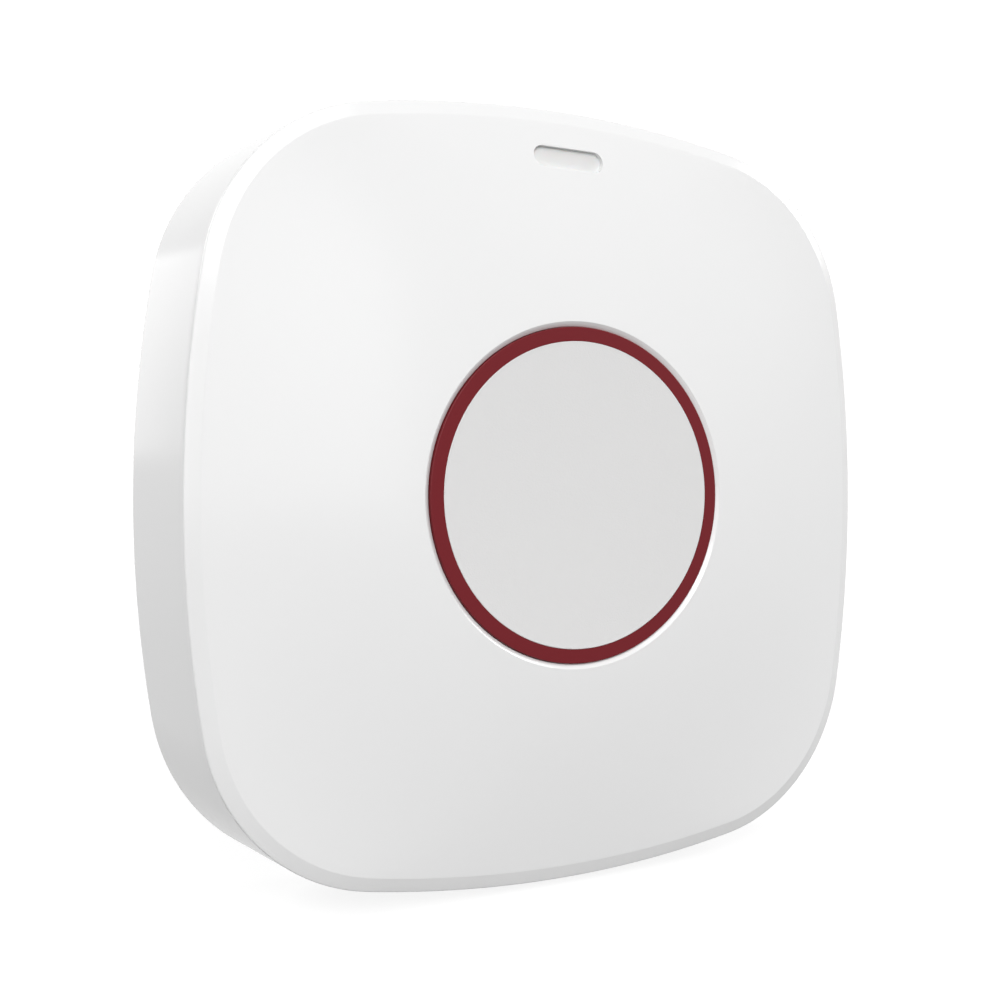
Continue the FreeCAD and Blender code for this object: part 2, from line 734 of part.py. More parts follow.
def control_chip():
    """Flat chip with a chamfered corner that marks its first leg."""
    x, z = CHIP_PLACE
    chip = block(CHIP_SIZE, CHIP_SIZE, BOARD_FRONT, BOARD_FRONT + CHIP_HEIGHT, x, z)
    first = [e for e in depth_edges(chip) if e.Vertexes[0].X < x and e.Vertexes[0].Z > z]
    return chip.makeChamfer(CHIP_CORNER, first)


def radio_shield():
    """Pressed steel can over the radio, with cut corners, open to the board."""
    x, z = SHIELD_PLACE
    front = BOARD_FRONT + SHIELD_HEIGHT
    can = block(SHIELD_LENGTH, SHIELD_WIDTH, BOARD_FRONT, front, x, z)
    can = can.makeChamfer(SHIELD_CORNER, depth_edges(can))
    thin = 2 * CONTACT_METAL
    room = block(SHIELD_LENGTH - thin, SHIELD_WIDTH - thin, BOARD_FRONT, front - CONTACT_METAL, x, z)
    return can.cut(room.makeChamfer(SHIELD_CORNER, depth_edges(room)))


def crystal_can():
    """Small steel crystal can with cut corners."""
    x, z = CRYSTAL_PLACE
    can = block(CRYSTAL_LENGTH, CRYSTAL_WIDTH, BOARD_FRONT, BOARD_FRONT + CRYSTAL_HEIGHT, x, z)
    return can.makeChamfer(CRYSTAL_CORNER, depth_edges(can))


def reserve_capacitor():
    """Round capacitor lying on the board."""
    x, z = CAPACITOR_PLACE
    end = place(x - CAPACITOR_LENGTH / 2, BOARD_FRONT + CAPACITOR_RADIUS, z)
    return Part.makeCylinder(CAPACITOR_RADIUS, CAPACITOR_LENGTH, end, FreeCAD.Vector(1, 0, 0))


def antenna_wire():
    """Quarter-wave wire: up from the board, then along two of its edges and the cut corner."""
    edge = BOARD_HALF - ANTENNA_INSET
    corner = 2 * BOARD_HALF - BOARD_CORNER - ANTENNA_INSET * math.sqrt(2) - edge
    run = BOARD_FRONT + ANTENNA_RISE
    points = [
        place(-edge, BOARD_FRONT, ANTENNA_FOOT),
        place(-edge, run, ANTENNA_FOOT),
        place(-edge, run, -corner),
        place(-corner, run, -edge),
        place(ANTENNA_END, run, -edge),
    ]
    section = []
    for side in range(ANTENNA_SIDES + 1):
        lean = 2 * math.pi * side / ANTENNA_SIDES
        across = FreeCAD.Vector(math.cos(lean), 0, math.sin(lean))
        section.append(points[0] + across * ANTENNA_WIRE)
    return Part.makePolygon(points).makePipeShell([Part.makePolygon(section)], True, True, 1)


def tamper_switch():
    """Housing of the tamper switch, with the chamber that its pin slides in."""
    x, z = TAMPER_PLACE
    top = BOARD_BACK - TAMPER_TOP
    mouth = PIN_SIZE + 2 * PIN_FIT
    room = mouth + 2 * PIN_COLLAR
    body = block(TAMPER_LENGTH, TAMPER_WIDTH, TAMPER_BACK, BOARD_BACK, x, z)
    body = body.cut(block(mouth, mouth, TAMPER_BACK, top, x, z))
    return body.cut(block(room, room, TAMPER_BACK + TAMPER_LIP, top, x, z))


def tamper_plunger():
    """Square pin of the tamper switch: it reaches past the wall plate and carries a collar."""
    x, z = TAMPER_PLACE
    pin = block(PIN_SIZE, PIN_SIZE, PIN_TIP, tamper_collar_front(), x, z)
    tip = [e for e in pin.Edges if all(abs(v.Y + PIN_TIP) < SMALL for v in e.Vertexes)]
    pin = pin.makeChamfer(PIN_TIP_BEVEL, tip)
    width = PIN_SIZE + 2 * PIN_COLLAR
    ring = block(width, width, TAMPER_BACK + TAMPER_LIP, tamper_collar_front(), x, z)
    tail_end = tamper_collar_front() + PIN_TAIL
    tail = block(PIN_TAIL_SIZE, PIN_TAIL_SIZE, tamper_collar_front(), tail_end, x, z)
    return pin.multiFuse([ring, tail]).removeSplitter()


def tamper_collar_front():
    """Depth of the side of the pin's collar that the spring stands on."""
    return TAMPER_BACK + TAMPER_LIP + PIN_COLLAR_THICKNESS


def tamper_spring():
    """Fine spring between the pin's collar and the switch's top that pushes the pin out."""
    x, z = TAMPER_PLACE
    top = BOARD_BACK - TAMPER_TOP
    return coil(TAMPER_SPRING_RADIUS, TAMPER_SPRING_WIRE, tamper_collar_front(), top,
                TAMPER_SPRING_TURNS, x, z)


def coin_cell():
    """Flat lithium cell: the can faces the wall, the smaller cap faces the board."""
    step = CELL_FRONT - CELL_CAP_HEIGHT
    profile = [
        (0, CELL_BACK), (CELL_RADIUS, CELL_BACK), (CELL_RADIUS, step), (CELL_RADIUS - CELL_STEP, step),
        (CELL_RADIUS - CELL_STEP, CELL_FRONT), (0, CELL_FRONT),
    ]
    return turned(profile, 0, CELL_HEIGHT_ON_FACE)


def contact_leg_place():
    """How far to each side of the cell's middle the contacts' legs go up to the board."""
    return WELL_OUTER + CONTACT_LEG_WIDTH


def leg_at(x, low, high, gap=0.0):
    """Flat leg of a contact, or the slot for it when a gap is given."""
    width, metal = CONTACT_METAL + 2 * gap, CONTACT_LEG_WIDTH + 2 * gap
    return block(width, metal, low, high, x, CELL_HEIGHT_ON_FACE)


def contact_negative():
    """Sprung strip on the well's floor: it arches to the cell and one end rises to the board."""
    half = CONTACT_SPAN / 2
    floor, top = WELL_FLOOR_BACK, CELL_FRONT
    x_out = contact_leg_place()
    strip = arched_strip(half, floor, top)
    leg = leg_at(x_out, floor - CONTACT_METAL, BOARD_FRONT)
    run_width = x_out + CONTACT_METAL / 2 - half
    run = block(run_width, CONTACT_LEG_WIDTH, floor - CONTACT_METAL, floor,
                half + run_width / 2, CELL_HEIGHT_ON_FACE)
    return strip.multiFuse([run, leg]).removeSplitter()


def arched_strip(half, floor, top):
    """Strip of one thickness bent to an arc, both ends on the floor and its crown at the cell."""
    crown = top + CONTACT_METAL
    z = CELL_HEIGHT_ON_FACE - CONTACT_WIDTH / 2
    outer = Part.Arc(place(-half, floor, z), place(0, crown, z), place(half, floor, z)).toShape()
    back = floor - CONTACT_METAL
    inner = Part.Arc(place(half, back, z), place(0, top, z), place(-half, back, z)).toShape()
    ends = [Part.makeLine(place(half, floor, z), place(half, back, z)),
            Part.makeLine(place(-half, back, z), place(-half, floor, z))]
    return Part.Face(Part.Wire([outer, ends[0], inner, ends[1]])).extrude(UP * CONTACT_WIDTH)


def contact_positive():
    """Strip that touches the cell's rim, folds over its back and rises to the board."""
    x_rim = -(CELL_RADIUS + CONTACT_METAL / 2 + SCREW_FIT)
    x_out = -contact_leg_place()
    z = CELL_HEIGHT_ON_FACE
    rim = block(CONTACT_METAL, CONTACT_WIDTH, PLATE_THICKNESS + SCREW_FIT, WELL_FLOOR_BACK, x_rim, z)
    lip_width = CONTACT_WIDTH / 2
    lip_x = x_rim + (lip_width - CONTACT_METAL) / 2
    lip = block(lip_width, CONTACT_WIDTH, PLATE_THICKNESS + SCREW_FIT, CELL_BACK - SCREW_FIT, lip_x, z)
    run_width = x_rim - x_out
    run = block(run_width, CONTACT_LEG_WIDTH, WELL_FLOOR_BACK - CONTACT_METAL, WELL_FLOOR_BACK,
                x_out + run_width / 2, z)
    leg = leg_at(x_out, WELL_FLOOR_BACK - CONTACT_METAL, BOARD_FRONT)
    return rim.multiFuse([lip, run, leg]).removeSplitter()


def rear_inset():
    """How far the rear cover's edge stands in from the housing's back rim."""
    return WALL + side_inset(REAR_FRONT + TAB_HEIGHT) + REAR_GAP


def locating_tabs():
    """Two short tabs along each edge of the rear cover that centre it in the housing."""
    reach = TAB_PLACE + TAB_WIDTH / 2
    drop = SIDE_BOW_RADIUS - math.sqrt(SIDE_BOW_RADIUS ** 2 - reach ** 2)
    middle = HALF - rear_inset() - drop - TAB_THICKNESS / 2
    tabs = []
    for quarter in range(4):
        for side in (-1, 1):
            tab = block(TAB_THICKNESS, TAB_WIDTH, REAR_FRONT, REAR_FRONT + TAB_HEIGHT, middle,
                        side * TAB_PLACE)
            tab.rotate(FreeCAD.Vector(0, 0, 0), OUT, quarter * 90)
            tabs.append(tab)
    return tabs


def board_arms():
    """Two sprung arms of the rear cover whose noses hold the board down on its posts."""
    nose_front = BOARD_FRONT + ARM_NOSE_HEIGHT
    arms = []
    for side in (-1, 1):
        x = side * (BOARD_HALF + ARM_GAP + ARM_THICKNESS / 2)
        arm = block(ARM_THICKNESS, ARM_WIDTH, REAR_FRONT, nose_front, x, 0)
        reach = ARM_THICKNESS + ARM_GAP + ARM_NOSE
        nose_x = side * (BOARD_HALF + ARM_GAP + ARM_THICKNESS - reach / 2)
        arms.append(arm.fuse(block(reach, ARM_WIDTH, BOARD_FRONT, nose_front, nose_x, 0)))
    return arms


def rear_cover():
    """Moulded back of the unit: plate with tabs, cell well, board posts, arms and hook slots."""
    z = CELL_HEIGHT_ON_FACE
    added = locating_tabs() + board_arms() + [rod(WELL_OUTER, PLATE_THICKNESS, WELL_FRONT, 0, z)]
    added += [block(POST_SIZE, POST_SIZE, REAR_FRONT, BOARD_BACK, x, y) for x, y in POST_PLACES]
    cover = slab(rear_inset(), PLATE_THICKNESS, REAR_FRONT).multiFuse(added)
    cutters = [rod(WELL_RADIUS, PLATE_THICKNESS, WELL_FLOOR_BACK, 0, z)]
    slot = contact_leg_place() + CONTACT_METAL
    slot_width = CONTACT_LEG_WIDTH + 2 * SLOT_GAP
    for side in (-1, 1):
        cutters.append(block(slot, slot_width, WELL_FLOOR_BACK - CONTACT_METAL - SLOT_GAP, WELL_FLOOR_BACK,
                             side * slot / 2, z))
    for x, y in boss_places():
        cutters.append(rod(SCREW_RADIUS + SLOT_GAP, PLATE_THICKNESS, REAR_FRONT, x, y))
        cutters.append(screw_head(x, y, SCREW_FIT))
    pin_hole = PIN_SIZE + 2 * PIN_HOLE_GAP
    cutters.append(block(pin_hole, pin_hole, PLATE_THICKNESS, REAR_FRONT, *TAMPER_PLACE))
    cutters += [hook_slot(side) for side in (-1, 1)]
    cutters.append(lug_notch(REAR_FRONT + TAB_HEIGHT))
    for cutter in cutters:
        cover = cover.cut(cutter)
    return cover.removeSplitter()


def hook_slot(side):
    """Slot in the rear cover that lets a hook of the wall plate in and then slide up."""
    x, z = side * HOOK_PLACE[0], HOOK_PLACE[1]
    high = z + HOOK_THICKNESS + SLOT_GAP
    low = z - HOOK_NOSE - SLOT_GAP
    return block(HOOK_WIDTH + 2 * SLOT_GAP, high - low, PLATE_THICKNESS, REAR_FRONT, x, (high + low) / 2)


def lug_top():
    """Z of the upper face of the wall plate's lug."""
    return pad_top() + LUG_GAP + LUG_THICKNESS


def lug_notch(front):
    """Notch at the bottom of the rear cover for the lug of the wall plate."""
    high = lug_top() + SLOT_GAP
    return block(PAD_WIDTH + NOTCH_GAP, high + HALF, PLATE_THICKNESS, front, 0, (high - HALF) / 2)


def screw_head(x, z, gap):
    """Countersunk head that lies flush with the back of the rear cover."""
    drop = SCREW_HEAD_RADIUS - SCREW_RADIUS
    low, high = PLATE_THICKNESS, PLATE_THICKNESS + drop
    return taper(SCREW_HEAD_RADIUS + gap, SCREW_RADIUS + gap, low, high, x, z)


def drive_cross(reach, low, high, x, z):
    """Cutter for the driver's cross recess in a screw head."""
    return block(2 * reach, DRIVE_WIDTH, low, high, x, z).fuse(block(DRIVE_WIDTH, 2 * reach, low, high, x, z))


def cover_screws():
    """Two countersunk screws that hold the rear cover to the bosses."""
    screws = []
    for x, z in boss_places():
        end = PLATE_THICKNESS + SCREW_LENGTH
        screw = rod(SCREW_RADIUS, PLATE_THICKNESS, end, x, z).fuse(screw_head(x, z, 0))
        cross = drive_cross(SCREW_RADIUS, PLATE_THICKNESS, PLATE_THICKNESS + DRIVE_DEPTH, x, z)
        screws.append(screw.cut(cross))
    return Part.makeCompound(screws)


def wall_plate():
    """Plate screwed to the wall: two hooks, a lug, screw holes and recesses for pads."""
    plate = slab(PLATE_INSET, 0, PLATE_THICKNESS)
    added = [hook(side) for side in (-1, 1)]
    lug_middle = lug_top() - LUG_THICKNESS / 2
    added.append(block(LUG_WIDTH, LUG_THICKNESS, 0, PLATE_THICKNESS + LUG_HEIGHT, 0, lug_middle))
    plate = plate.multiFuse(added).removeSplitter()
    cutters = []
    for side in (-1, 1):
        x = side * WALL_HOLE_SPACING / 2
        cutters.append(rod(WALL_HOLE_RADIUS, 0, PLATE_THICKNESS, x, 0))
        sink = PLATE_THICKNESS - WALL_HOLE_SINK
        flare = WALL_HOLE_RADIUS + WALL_HOLE_SINK
        cutters.append(taper(WALL_HOLE_RADIUS, flare, sink, PLATE_THICKNESS, x, 0))
        cutters.append(block(PAD_LENGTH, PAD_HEIGHT, 0, PAD_RECESS, 0, side * PAD_PLACE))
    pin_hole = PIN_SIZE + 4 * PIN_HOLE_GAP
    cutters.append(block(pin_hole, pin_hole, 0, PLATE_THICKNESS, *TAMPER_PLACE))
    cutters.append(upright(LOCK_RADIUS, lug_top() - 2 * LUG_THICKNESS, lug_top() + SMALL, SCREW_FIT))
    for cutter in cutters:
        plate = plate.cut(cutter)
    return plate


def hook(side):
    """Hook of the wall plate: a stem through the rear cover and a nose that points up."""
    x, z = side * HOOK_PLACE[0], HOOK_PLACE[1]
    nose_back = REAR_FRONT + HOOK_GAP
    nose_front = nose_back + HOOK_NOSE_THICKNESS
    stem = block(HOOK_WIDTH, HOOK_THICKNESS, 0, nose_front, x, z + HOOK_THICKNESS / 2)
    reach = HOOK_THICKNESS + HOOK_NOSE
    nose = block(HOOK_WIDTH, reach, nose_back, nose_front, x, z + reach / 2)
    return stem.fuse(nose).removeSplitter()


def locking_screw():
    """Pan-head screw from below, through the housing into the wall plate's lug."""
    floor = lock_floor()
    end = lug_top() - LOCK_END
    head = upright(LOCK_HEAD_RADIUS, floor - LOCK_HEAD_HEIGHT, floor)
    rim = [e for e in head.Edges if isinstance(e.Curve, Part.Circle)
           and abs(e.Curve.Center.z - floor + LOCK_HEAD_HEIGHT) < SMALL]
    head = head.makeChamfer(LOCK_HEAD_BEVEL, rim)
    across, thin, low = 2 * LOCK_RADIUS, DRIVE_WIDTH / 2, floor - LOCK_HEAD_HEIGHT
    cross = [Part.makeBox(across, DRIVE_WIDTH, DRIVE_DEPTH, place(-LOCK_RADIUS, LOCK_DEPTH + thin, low)),
             Part.makeBox(DRIVE_WIDTH, across, DRIVE_DEPTH, place(-thin, LOCK_DEPTH + LOCK_RADIUS, low))]
    return head.fuse(upright(LOCK_RADIUS, floor, end)).cut(cross[0]).cut(cross[1])


def node_shapes():
    """Every piece of the object by its node's name."""
    shapes = {
        "front_cover": front_cover(),
        "button_body": button_body(),
        "button_cap": button_cap(),
        "status_lens": status_lens(),
        "status_led": status_led(),
        "circuit_board": circuit_board(),
        "switch_base": switch_base(),
        "switch_legs": switch_legs(),
        "switch_plate": switch_plate(),
        "switch_stem": switch_stem(),
        "control_chip": control_chip(),
        "radio_shield": radio_shield(),
        "crystal_can": crystal_can(),
        "reserve_capacitor": reserve_capacitor(),
        "antenna_wire": antenna_wire(),
        "tamper_switch": tamper_switch(),
        "tamper_plunger": tamper_plunger(),
        "tamper_spring": tamper_spring(),
        "coin_cell": coin_cell(),
        "contact_negative": contact_negative(),
        "contact_positive": contact_positive(),
        "rear_cover": rear_cover(),
        "cover_screws": cover_screws(),
        "wall_plate": wall_plate(),
        "locking_screw": locking_screw(),
    }
    for index in range(SPRING_COUNT):
        shapes["return_spring_" + str(index + 1)] = return_spring(index)
    return shapes


os.makedirs("parts", exist_ok=True)
for name, shape in node_shapes().items():
    shape.exportStep("parts/" + name + ".step")
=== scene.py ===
import math

import bmesh
import bpy
import numpy as np
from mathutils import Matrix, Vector


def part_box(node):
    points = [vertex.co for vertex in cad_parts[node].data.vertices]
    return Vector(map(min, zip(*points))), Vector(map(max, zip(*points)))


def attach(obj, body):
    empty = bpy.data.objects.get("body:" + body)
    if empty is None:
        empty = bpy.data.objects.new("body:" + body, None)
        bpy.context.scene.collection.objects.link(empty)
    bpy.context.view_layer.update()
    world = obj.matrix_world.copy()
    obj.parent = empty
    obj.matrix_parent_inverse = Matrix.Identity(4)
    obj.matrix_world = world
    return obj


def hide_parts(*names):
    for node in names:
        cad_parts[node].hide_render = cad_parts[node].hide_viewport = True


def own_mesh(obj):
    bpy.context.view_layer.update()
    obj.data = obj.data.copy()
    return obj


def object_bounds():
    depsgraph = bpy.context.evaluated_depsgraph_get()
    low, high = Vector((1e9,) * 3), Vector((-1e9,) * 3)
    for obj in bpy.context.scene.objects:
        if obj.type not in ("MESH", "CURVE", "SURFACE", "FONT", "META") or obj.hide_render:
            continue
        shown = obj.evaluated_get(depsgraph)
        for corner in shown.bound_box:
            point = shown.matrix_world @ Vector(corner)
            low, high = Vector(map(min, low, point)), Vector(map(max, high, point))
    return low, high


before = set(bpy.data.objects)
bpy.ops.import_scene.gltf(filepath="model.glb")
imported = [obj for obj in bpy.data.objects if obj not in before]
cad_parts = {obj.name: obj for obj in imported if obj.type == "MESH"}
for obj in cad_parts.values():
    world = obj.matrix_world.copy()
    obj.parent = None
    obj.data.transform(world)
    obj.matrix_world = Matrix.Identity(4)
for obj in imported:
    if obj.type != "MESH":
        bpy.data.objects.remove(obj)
cad_low, cad_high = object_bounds()


# Wall plate and rear cover: injection moulded white plastic with a fine, even skin.
# The plate is screwed to the wall, and the rear cover closes the housing in front of it.

def two_toned(name, pattern_of):
    """Node group of a surface in two near tones: a pattern mixes the colours and ranges the gloss.
    pattern_of makes the pattern's nodes from the place and the scale, and gives its mix and height."""
    group = bpy.data.node_groups.new(name, "ShaderNodeTree")
    for socket in ("Colour", "Second Colour"):
        group.interface.new_socket(socket, in_out="INPUT", socket_type="NodeSocketColor")
    for socket in ("Pattern Scale", "Smooth", "Dull"):
        group.interface.new_socket(socket, in_out="INPUT", socket_type="NodeSocketFloat")
    group.interface.new_socket("Colour", in_out="OUTPUT", socket_type="NodeSocketColor")
    for socket in ("Roughness", "Height"):
        group.interface.new_socket(socket, in_out="OUTPUT", socket_type="NodeSocketFloat")
    node, link = group.nodes.new, group.links.new
    given, result = node("NodeGroupInput"), node("NodeGroupOutput")
    where = node("ShaderNodeTexCoord")
    pattern, height = pattern_of(node, link, where.outputs["Object"], given.outputs["Pattern Scale"])
    tone = node("ShaderNodeMix")
    tone.data_type = "RGBA"
    gloss = node("ShaderNodeMapRange")
    link(pattern, tone.inputs["Factor"])
    link(given.outputs["Colour"], tone.inputs["A"])
    link(given.outputs["Second Colour"], tone.inputs["B"])
    link(pattern, gloss.inputs["Value"])
    link(given.outputs["Smooth"], gloss.inputs["To Min"])
    link(given.outputs["Dull"], gloss.inputs["To Max"])
    link(tone.outputs["Result"], result.inputs["Colour"])
    link(gloss.outputs["Result"], result.inputs["Roughness"])
    link(height, result.inputs["Height"])
    return group


def flow_and_grain(node, link, place, scale):
    """Pattern of a moulded surface: a slow flow of tone and gloss, and a fine grain as height."""
    flow = node("ShaderNodeTexNoise")
    flow.inputs["Scale"].default_value = 45
    flow.inputs["Detail"].default_value = 2
    grain = node("ShaderNodeTexNoise")
    grain.inputs["Detail"].default_value = 3
    link(place, flow.inputs["Vector"])
    link(place, grain.inputs["Vector"])
    link(scale, grain.inputs["Scale"])
    return flow.outputs["Fac"], grain.outputs["Fac"]


def surfaced(name, surface, colours, scale, gloss, relief, relief_depth):
    """Material with a two-toned surface: its two colours, pattern scale, gloss range and relief."""
    material = bpy.data.materials.new(name)
    material.use_nodes = True
    nodes, link = material.node_tree.nodes, material.node_tree.links.new
    shader = nodes["Principled BSDF"]
    toned = nodes.new("ShaderNodeGroup")
    toned.node_tree = surface
    values = ((*colours[0], 1), (*colours[1], 1), scale, *gloss)
    for socket, value in zip(("Colour", "Second Colour", "Pattern Scale", "Smooth", "Dull"), values):
        toned.inputs[socket].default_value = value
    bump = nodes.new("ShaderNodeBump")
    bump.inputs["Strength"].default_value = relief
    bump.inputs["Distance"].default_value = relief_depth
    link(toned.outputs["Colour"], shader.inputs["Base Color"])
    link(toned.outputs["Roughness"], shader.inputs["Roughness"])
    link(toned.outputs["Height"], bump.inputs["Height"])
    link(bump.outputs["Normal"], shader.inputs["Normal"])
    return material


moulded_skin = two_toned("moulded skin", flow_and_grain)


def moulded(name, colour, flow_colour, smooth, dull, grain=6000.0, relief=0.02, **sockets):
    """Moulded plastic: two near colours that flow into each other, a gloss range and a grain relief."""
    material = surfaced(name, moulded_skin, (colour, flow_colour), grain, (smooth, dull), relief, 0.0002)
    for socket, value in sockets.items():
        material.node_tree.nodes["Principled BSDF"].inputs[socket.replace("_", " ")].default_value = value
    return material


def give(material, *nodes):
    """Puts a finish on solids of the frame whose shape stays as it is."""
    for name in nodes:
        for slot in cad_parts[name].material_slots:
            slot.material = material


back_white = moulded("white plastic of the back", (0.80, 0.80, 0.79), (0.84, 0.84, 0.83), 0.38, 0.5,
                     grain=4500, relief=0.08)
give(back_white, "wall_plate", "rear_cover")


# Screws, cell and contacts: zinc plated steel screws with a cross drive, a nickel plated coin cell
# and two spring contacts bent from strip. The cell lies between its contacts in the rear cover's well.

def drawn_lines(node, link, place, scale):
    """Pattern of drawn or rolled metal: noise stretched along X gives fine lines of tone and gloss."""
    stretch = node("ShaderNodeMapping")
    stretch.inputs["Scale"].default_value = (0.06, 1, 1)
    lines = node("ShaderNodeTexNoise")
    lines.inputs["Detail"].default_value = 4
    link(place, stretch.inputs["Vector"])
    link(stretch.outputs["Vector"], lines.inputs["Vector"])
    link(scale, lines.inputs["Scale"])
    return lines.outputs["Fac"], lines.outputs["Fac"]


drawn_metal = two_toned("drawn metal", drawn_lines)


def plated(name, colour, line_colour, smooth, dull, lines=5000.0, relief=0.05):
    """Plated or bare metal with fine drawing lines."""
    material = surfaced(name, drawn_metal, (colour, line_colour), lines, (smooth, dull), relief, 0.0001)
    material.node_tree.nodes["Principled BSDF"].inputs["Metallic"].default_value = 1
    return material


give(plated("zinc plated steel", (0.62, 0.63, 0.64), (0.74, 0.75, 0.76), 0.22, 0.38),
     "cover_screws", "locking_screw")
give(plated("nickel plated steel of the cell", (0.66, 0.65, 0.62), (0.74, 0.73, 0.70), 0.16, 0.28),
     "coin_cell")
give(plated("nickel plated strip", (0.62, 0.60, 0.55), (0.72, 0.70, 0.66), 0.2, 0.34),
     "contact_negative", "contact_positive")


# Tamper switch: a black moulded case on the back of the board, a white pin that stands out of the
# back of the unit, and a steel spring that pushes the pin against the wall.

black_case = moulded("black plastic", (0.018, 0.018, 0.02), (0.03, 0.03, 0.032), 0.35, 0.5, relief=0.06)
spring_steel = plated("spring steel", (0.42, 0.42, 0.43), (0.55, 0.55, 0.56), 0.25, 0.4)
give(black_case, "tamper_switch", "switch_base", "control_chip", "status_led", "reserve_capacitor")
give(moulded("white plastic of the pin", (0.78, 0.78, 0.77), (0.82, 0.82, 0.81), 0.3, 0.42), "tamper_plunger")


# Circuit board: glass fibre laminate under green lacquer, with faint copper runs showing through,
# and the parts soldered on it. It lies on three posts of the rear cover, held by two sprung arms.

def lacquered_board():
    """Green lacquer over a weave of glass fibre, with paler bands where copper lies underneath."""
    material = bpy.data.materials.new("lacquered board")
    material.use_nodes = True
    nodes, link = material.node_tree.nodes, material.node_tree.links.new
    shader = nodes["Principled BSDF"]
    where = nodes.new("ShaderNodeTexCoord")
    copper = nodes.new("ShaderNodeTexVoronoi")
    copper.distance = "CHEBYCHEV"
    copper.inputs["Scale"].default_value = 260
    runs = nodes.new("ShaderNodeMapRange")
    runs.inputs["From Min"].default_value = 0.42
    runs.inputs["From Max"].default_value = 0.46
    tone = nodes.new("ShaderNodeMix")
    tone.data_type = "RGBA"
    tone.inputs["A"].default_value = (0.012, 0.11, 0.045, 1)
    tone.inputs["B"].default_value = (0.03, 0.19, 0.08, 1)
    weave = nodes.new("ShaderNodeTexNoise")
    weave.inputs["Scale"].default_value = 2500
    bump = nodes.new("ShaderNodeBump")
    bump.inputs["Strength"].default_value = 0.1
    bump.inputs["Distance"].default_value = 0.0001
    shader.inputs["Roughness"].default_value = 0.32
    link(where.outputs["Object"], copper.inputs["Vector"])
    link(where.outputs["Object"], weave.inputs["Vector"])
    link(copper.outputs["Distance"], runs.inputs["Value"])
    link(runs.outputs["Result"], tone.inputs["Factor"])
    link(tone.outputs["Result"], shader.inputs["Base Color"])
    link(weave.outputs["Fac"], bump.inputs["Height"])
    link(bump.outputs["Normal"], shader.inputs["Normal"])
    return material


give(lacquered_board(), "circuit_board")
give(plated("tinned steel", (0.70, 0.70, 0.69), (0.78, 0.78, 0.77), 0.24, 0.36),
     "radio_shield", "crystal_can", "switch_legs")
give(plated("stainless steel", (0.56, 0.55, 0.53), (0.64, 0.63, 0.61), 0.2, 0.32), "switch_plate")
give(plated("bare copper wire", (0.72, 0.36, 0.20), (0.82, 0.46, 0.28), 0.22, 0.34), "antenna_wire")
give(black_case, "switch_stem")


# Button body: dark red plastic, seen as the ring round the cap. It is one moulding with three ears
# that stop it in the front cover, a plunger for the press switch, ribs and spring spigots.

def corner_arc(before, corner, after, radius, steps):
    """Points of the arc of a radius that rounds the corner of a profile between two neighbours."""
    corner = np.array(corner, float)
    back = np.array(before, float) - corner
    on = np.array(after, float) - corner
    back, on = back / np.linalg.norm(back), on / np.linalg.norm(on)
    half = math.acos(np.clip(back @ on, -1, 1)) / 2
    middle = (back + on) / np.linalg.norm(back + on)
    centre = corner + middle * radius / math.sin(half)
    start = corner + back * radius / math.tan(half) - centre
    end = corner + on * radius / math.tan(half) - centre
    sweep = math.pi - 2 * half
    share = np.linspace(0, 1, steps + 1)[:, None]
    return centre + (np.sin((1 - share) * sweep) * start + np.sin(share * sweep) * end) / math.sin(sweep)


def rounded(corners, steps=5, hold=0.02):
    """Profile through (along, depth, radius) corners; a radius above 0 rounds one. A second row
    lies close outside each round, so that the flats beside it stay flat in the light."""
    rows = [np.array([corners[0][:2]], float)]
    for before, corner, after in zip(corners, corners[1:], corners[2:]):
        if corner[2] > 0:
            bend = corner_arc(before[:2], corner[:2], after[:2], corner[2], steps)
            back, on = np.array(before[:2]) - bend[0], np.array(after[:2]) - bend[-1]
            first = bend[0] + back * hold / np.linalg.norm(back)
            last = bend[-1] + on * hold / np.linalg.norm(on)
            rows.append(np.vstack([first, bend, last]))
        else:
            rows.append(np.array([corner[:2]], float))
    rows.append(np.array([corners[-1][:2]], float))
    return np.vstack(rows)


def strips(rows):
    """Four-cornered faces between vertex numbers laid out in rows, each row a closed loop."""
    first, second = rows[:-1], rows[1:]
    return np.stack([first, np.roll(first, -1, 1), np.roll(second, -1, 1), second], -1).reshape(-1, 4)


def turned(profile, count=192, x=0.0, z=0.0):
    """Points and faces of a profile of (radius, depth) turned about an axis along Y."""
    turn = np.linspace(0, 2 * math.pi, count, endpoint=False)
    radius, depth = profile[:, :1], profile[:, 1:]
    points = np.stack([x + radius * np.cos(turn), -depth + 0 * turn, z + radius * np.sin(turn)], -1)
    return points.reshape(-1, 3), strips(np.arange(points.size // 3).reshape(len(profile), count)).tolist()


def oblong(near, far, width):
    """Corners of a rectangle from one reach along X to another, that wide about the X axis."""
    return [(near, -width / 2), (far, -width / 2), (far, width / 2), (near, width / 2)]


def bar(outline, low, high, angle=0.0):
    """Points and faces of a flat outline of (x, z) corners drawn out between two depths and turned."""
    flat = np.array(outline, float)
    turn = math.radians(angle)
    x = flat[:, 0] * math.cos(turn) - flat[:, 1] * math.sin(turn)
    z = flat[:, 0] * math.sin(turn) + flat[:, 1] * math.cos(turn)
    points = np.concatenate([np.stack([x, np.full_like(x, -depth), z], 1) for depth in (low, high)])
    rows = np.arange(len(points)).reshape(2, -1)
    return points, strips(rows).tolist() + [rows[0].tolist(), rows[1].tolist()]


mm = 0.001


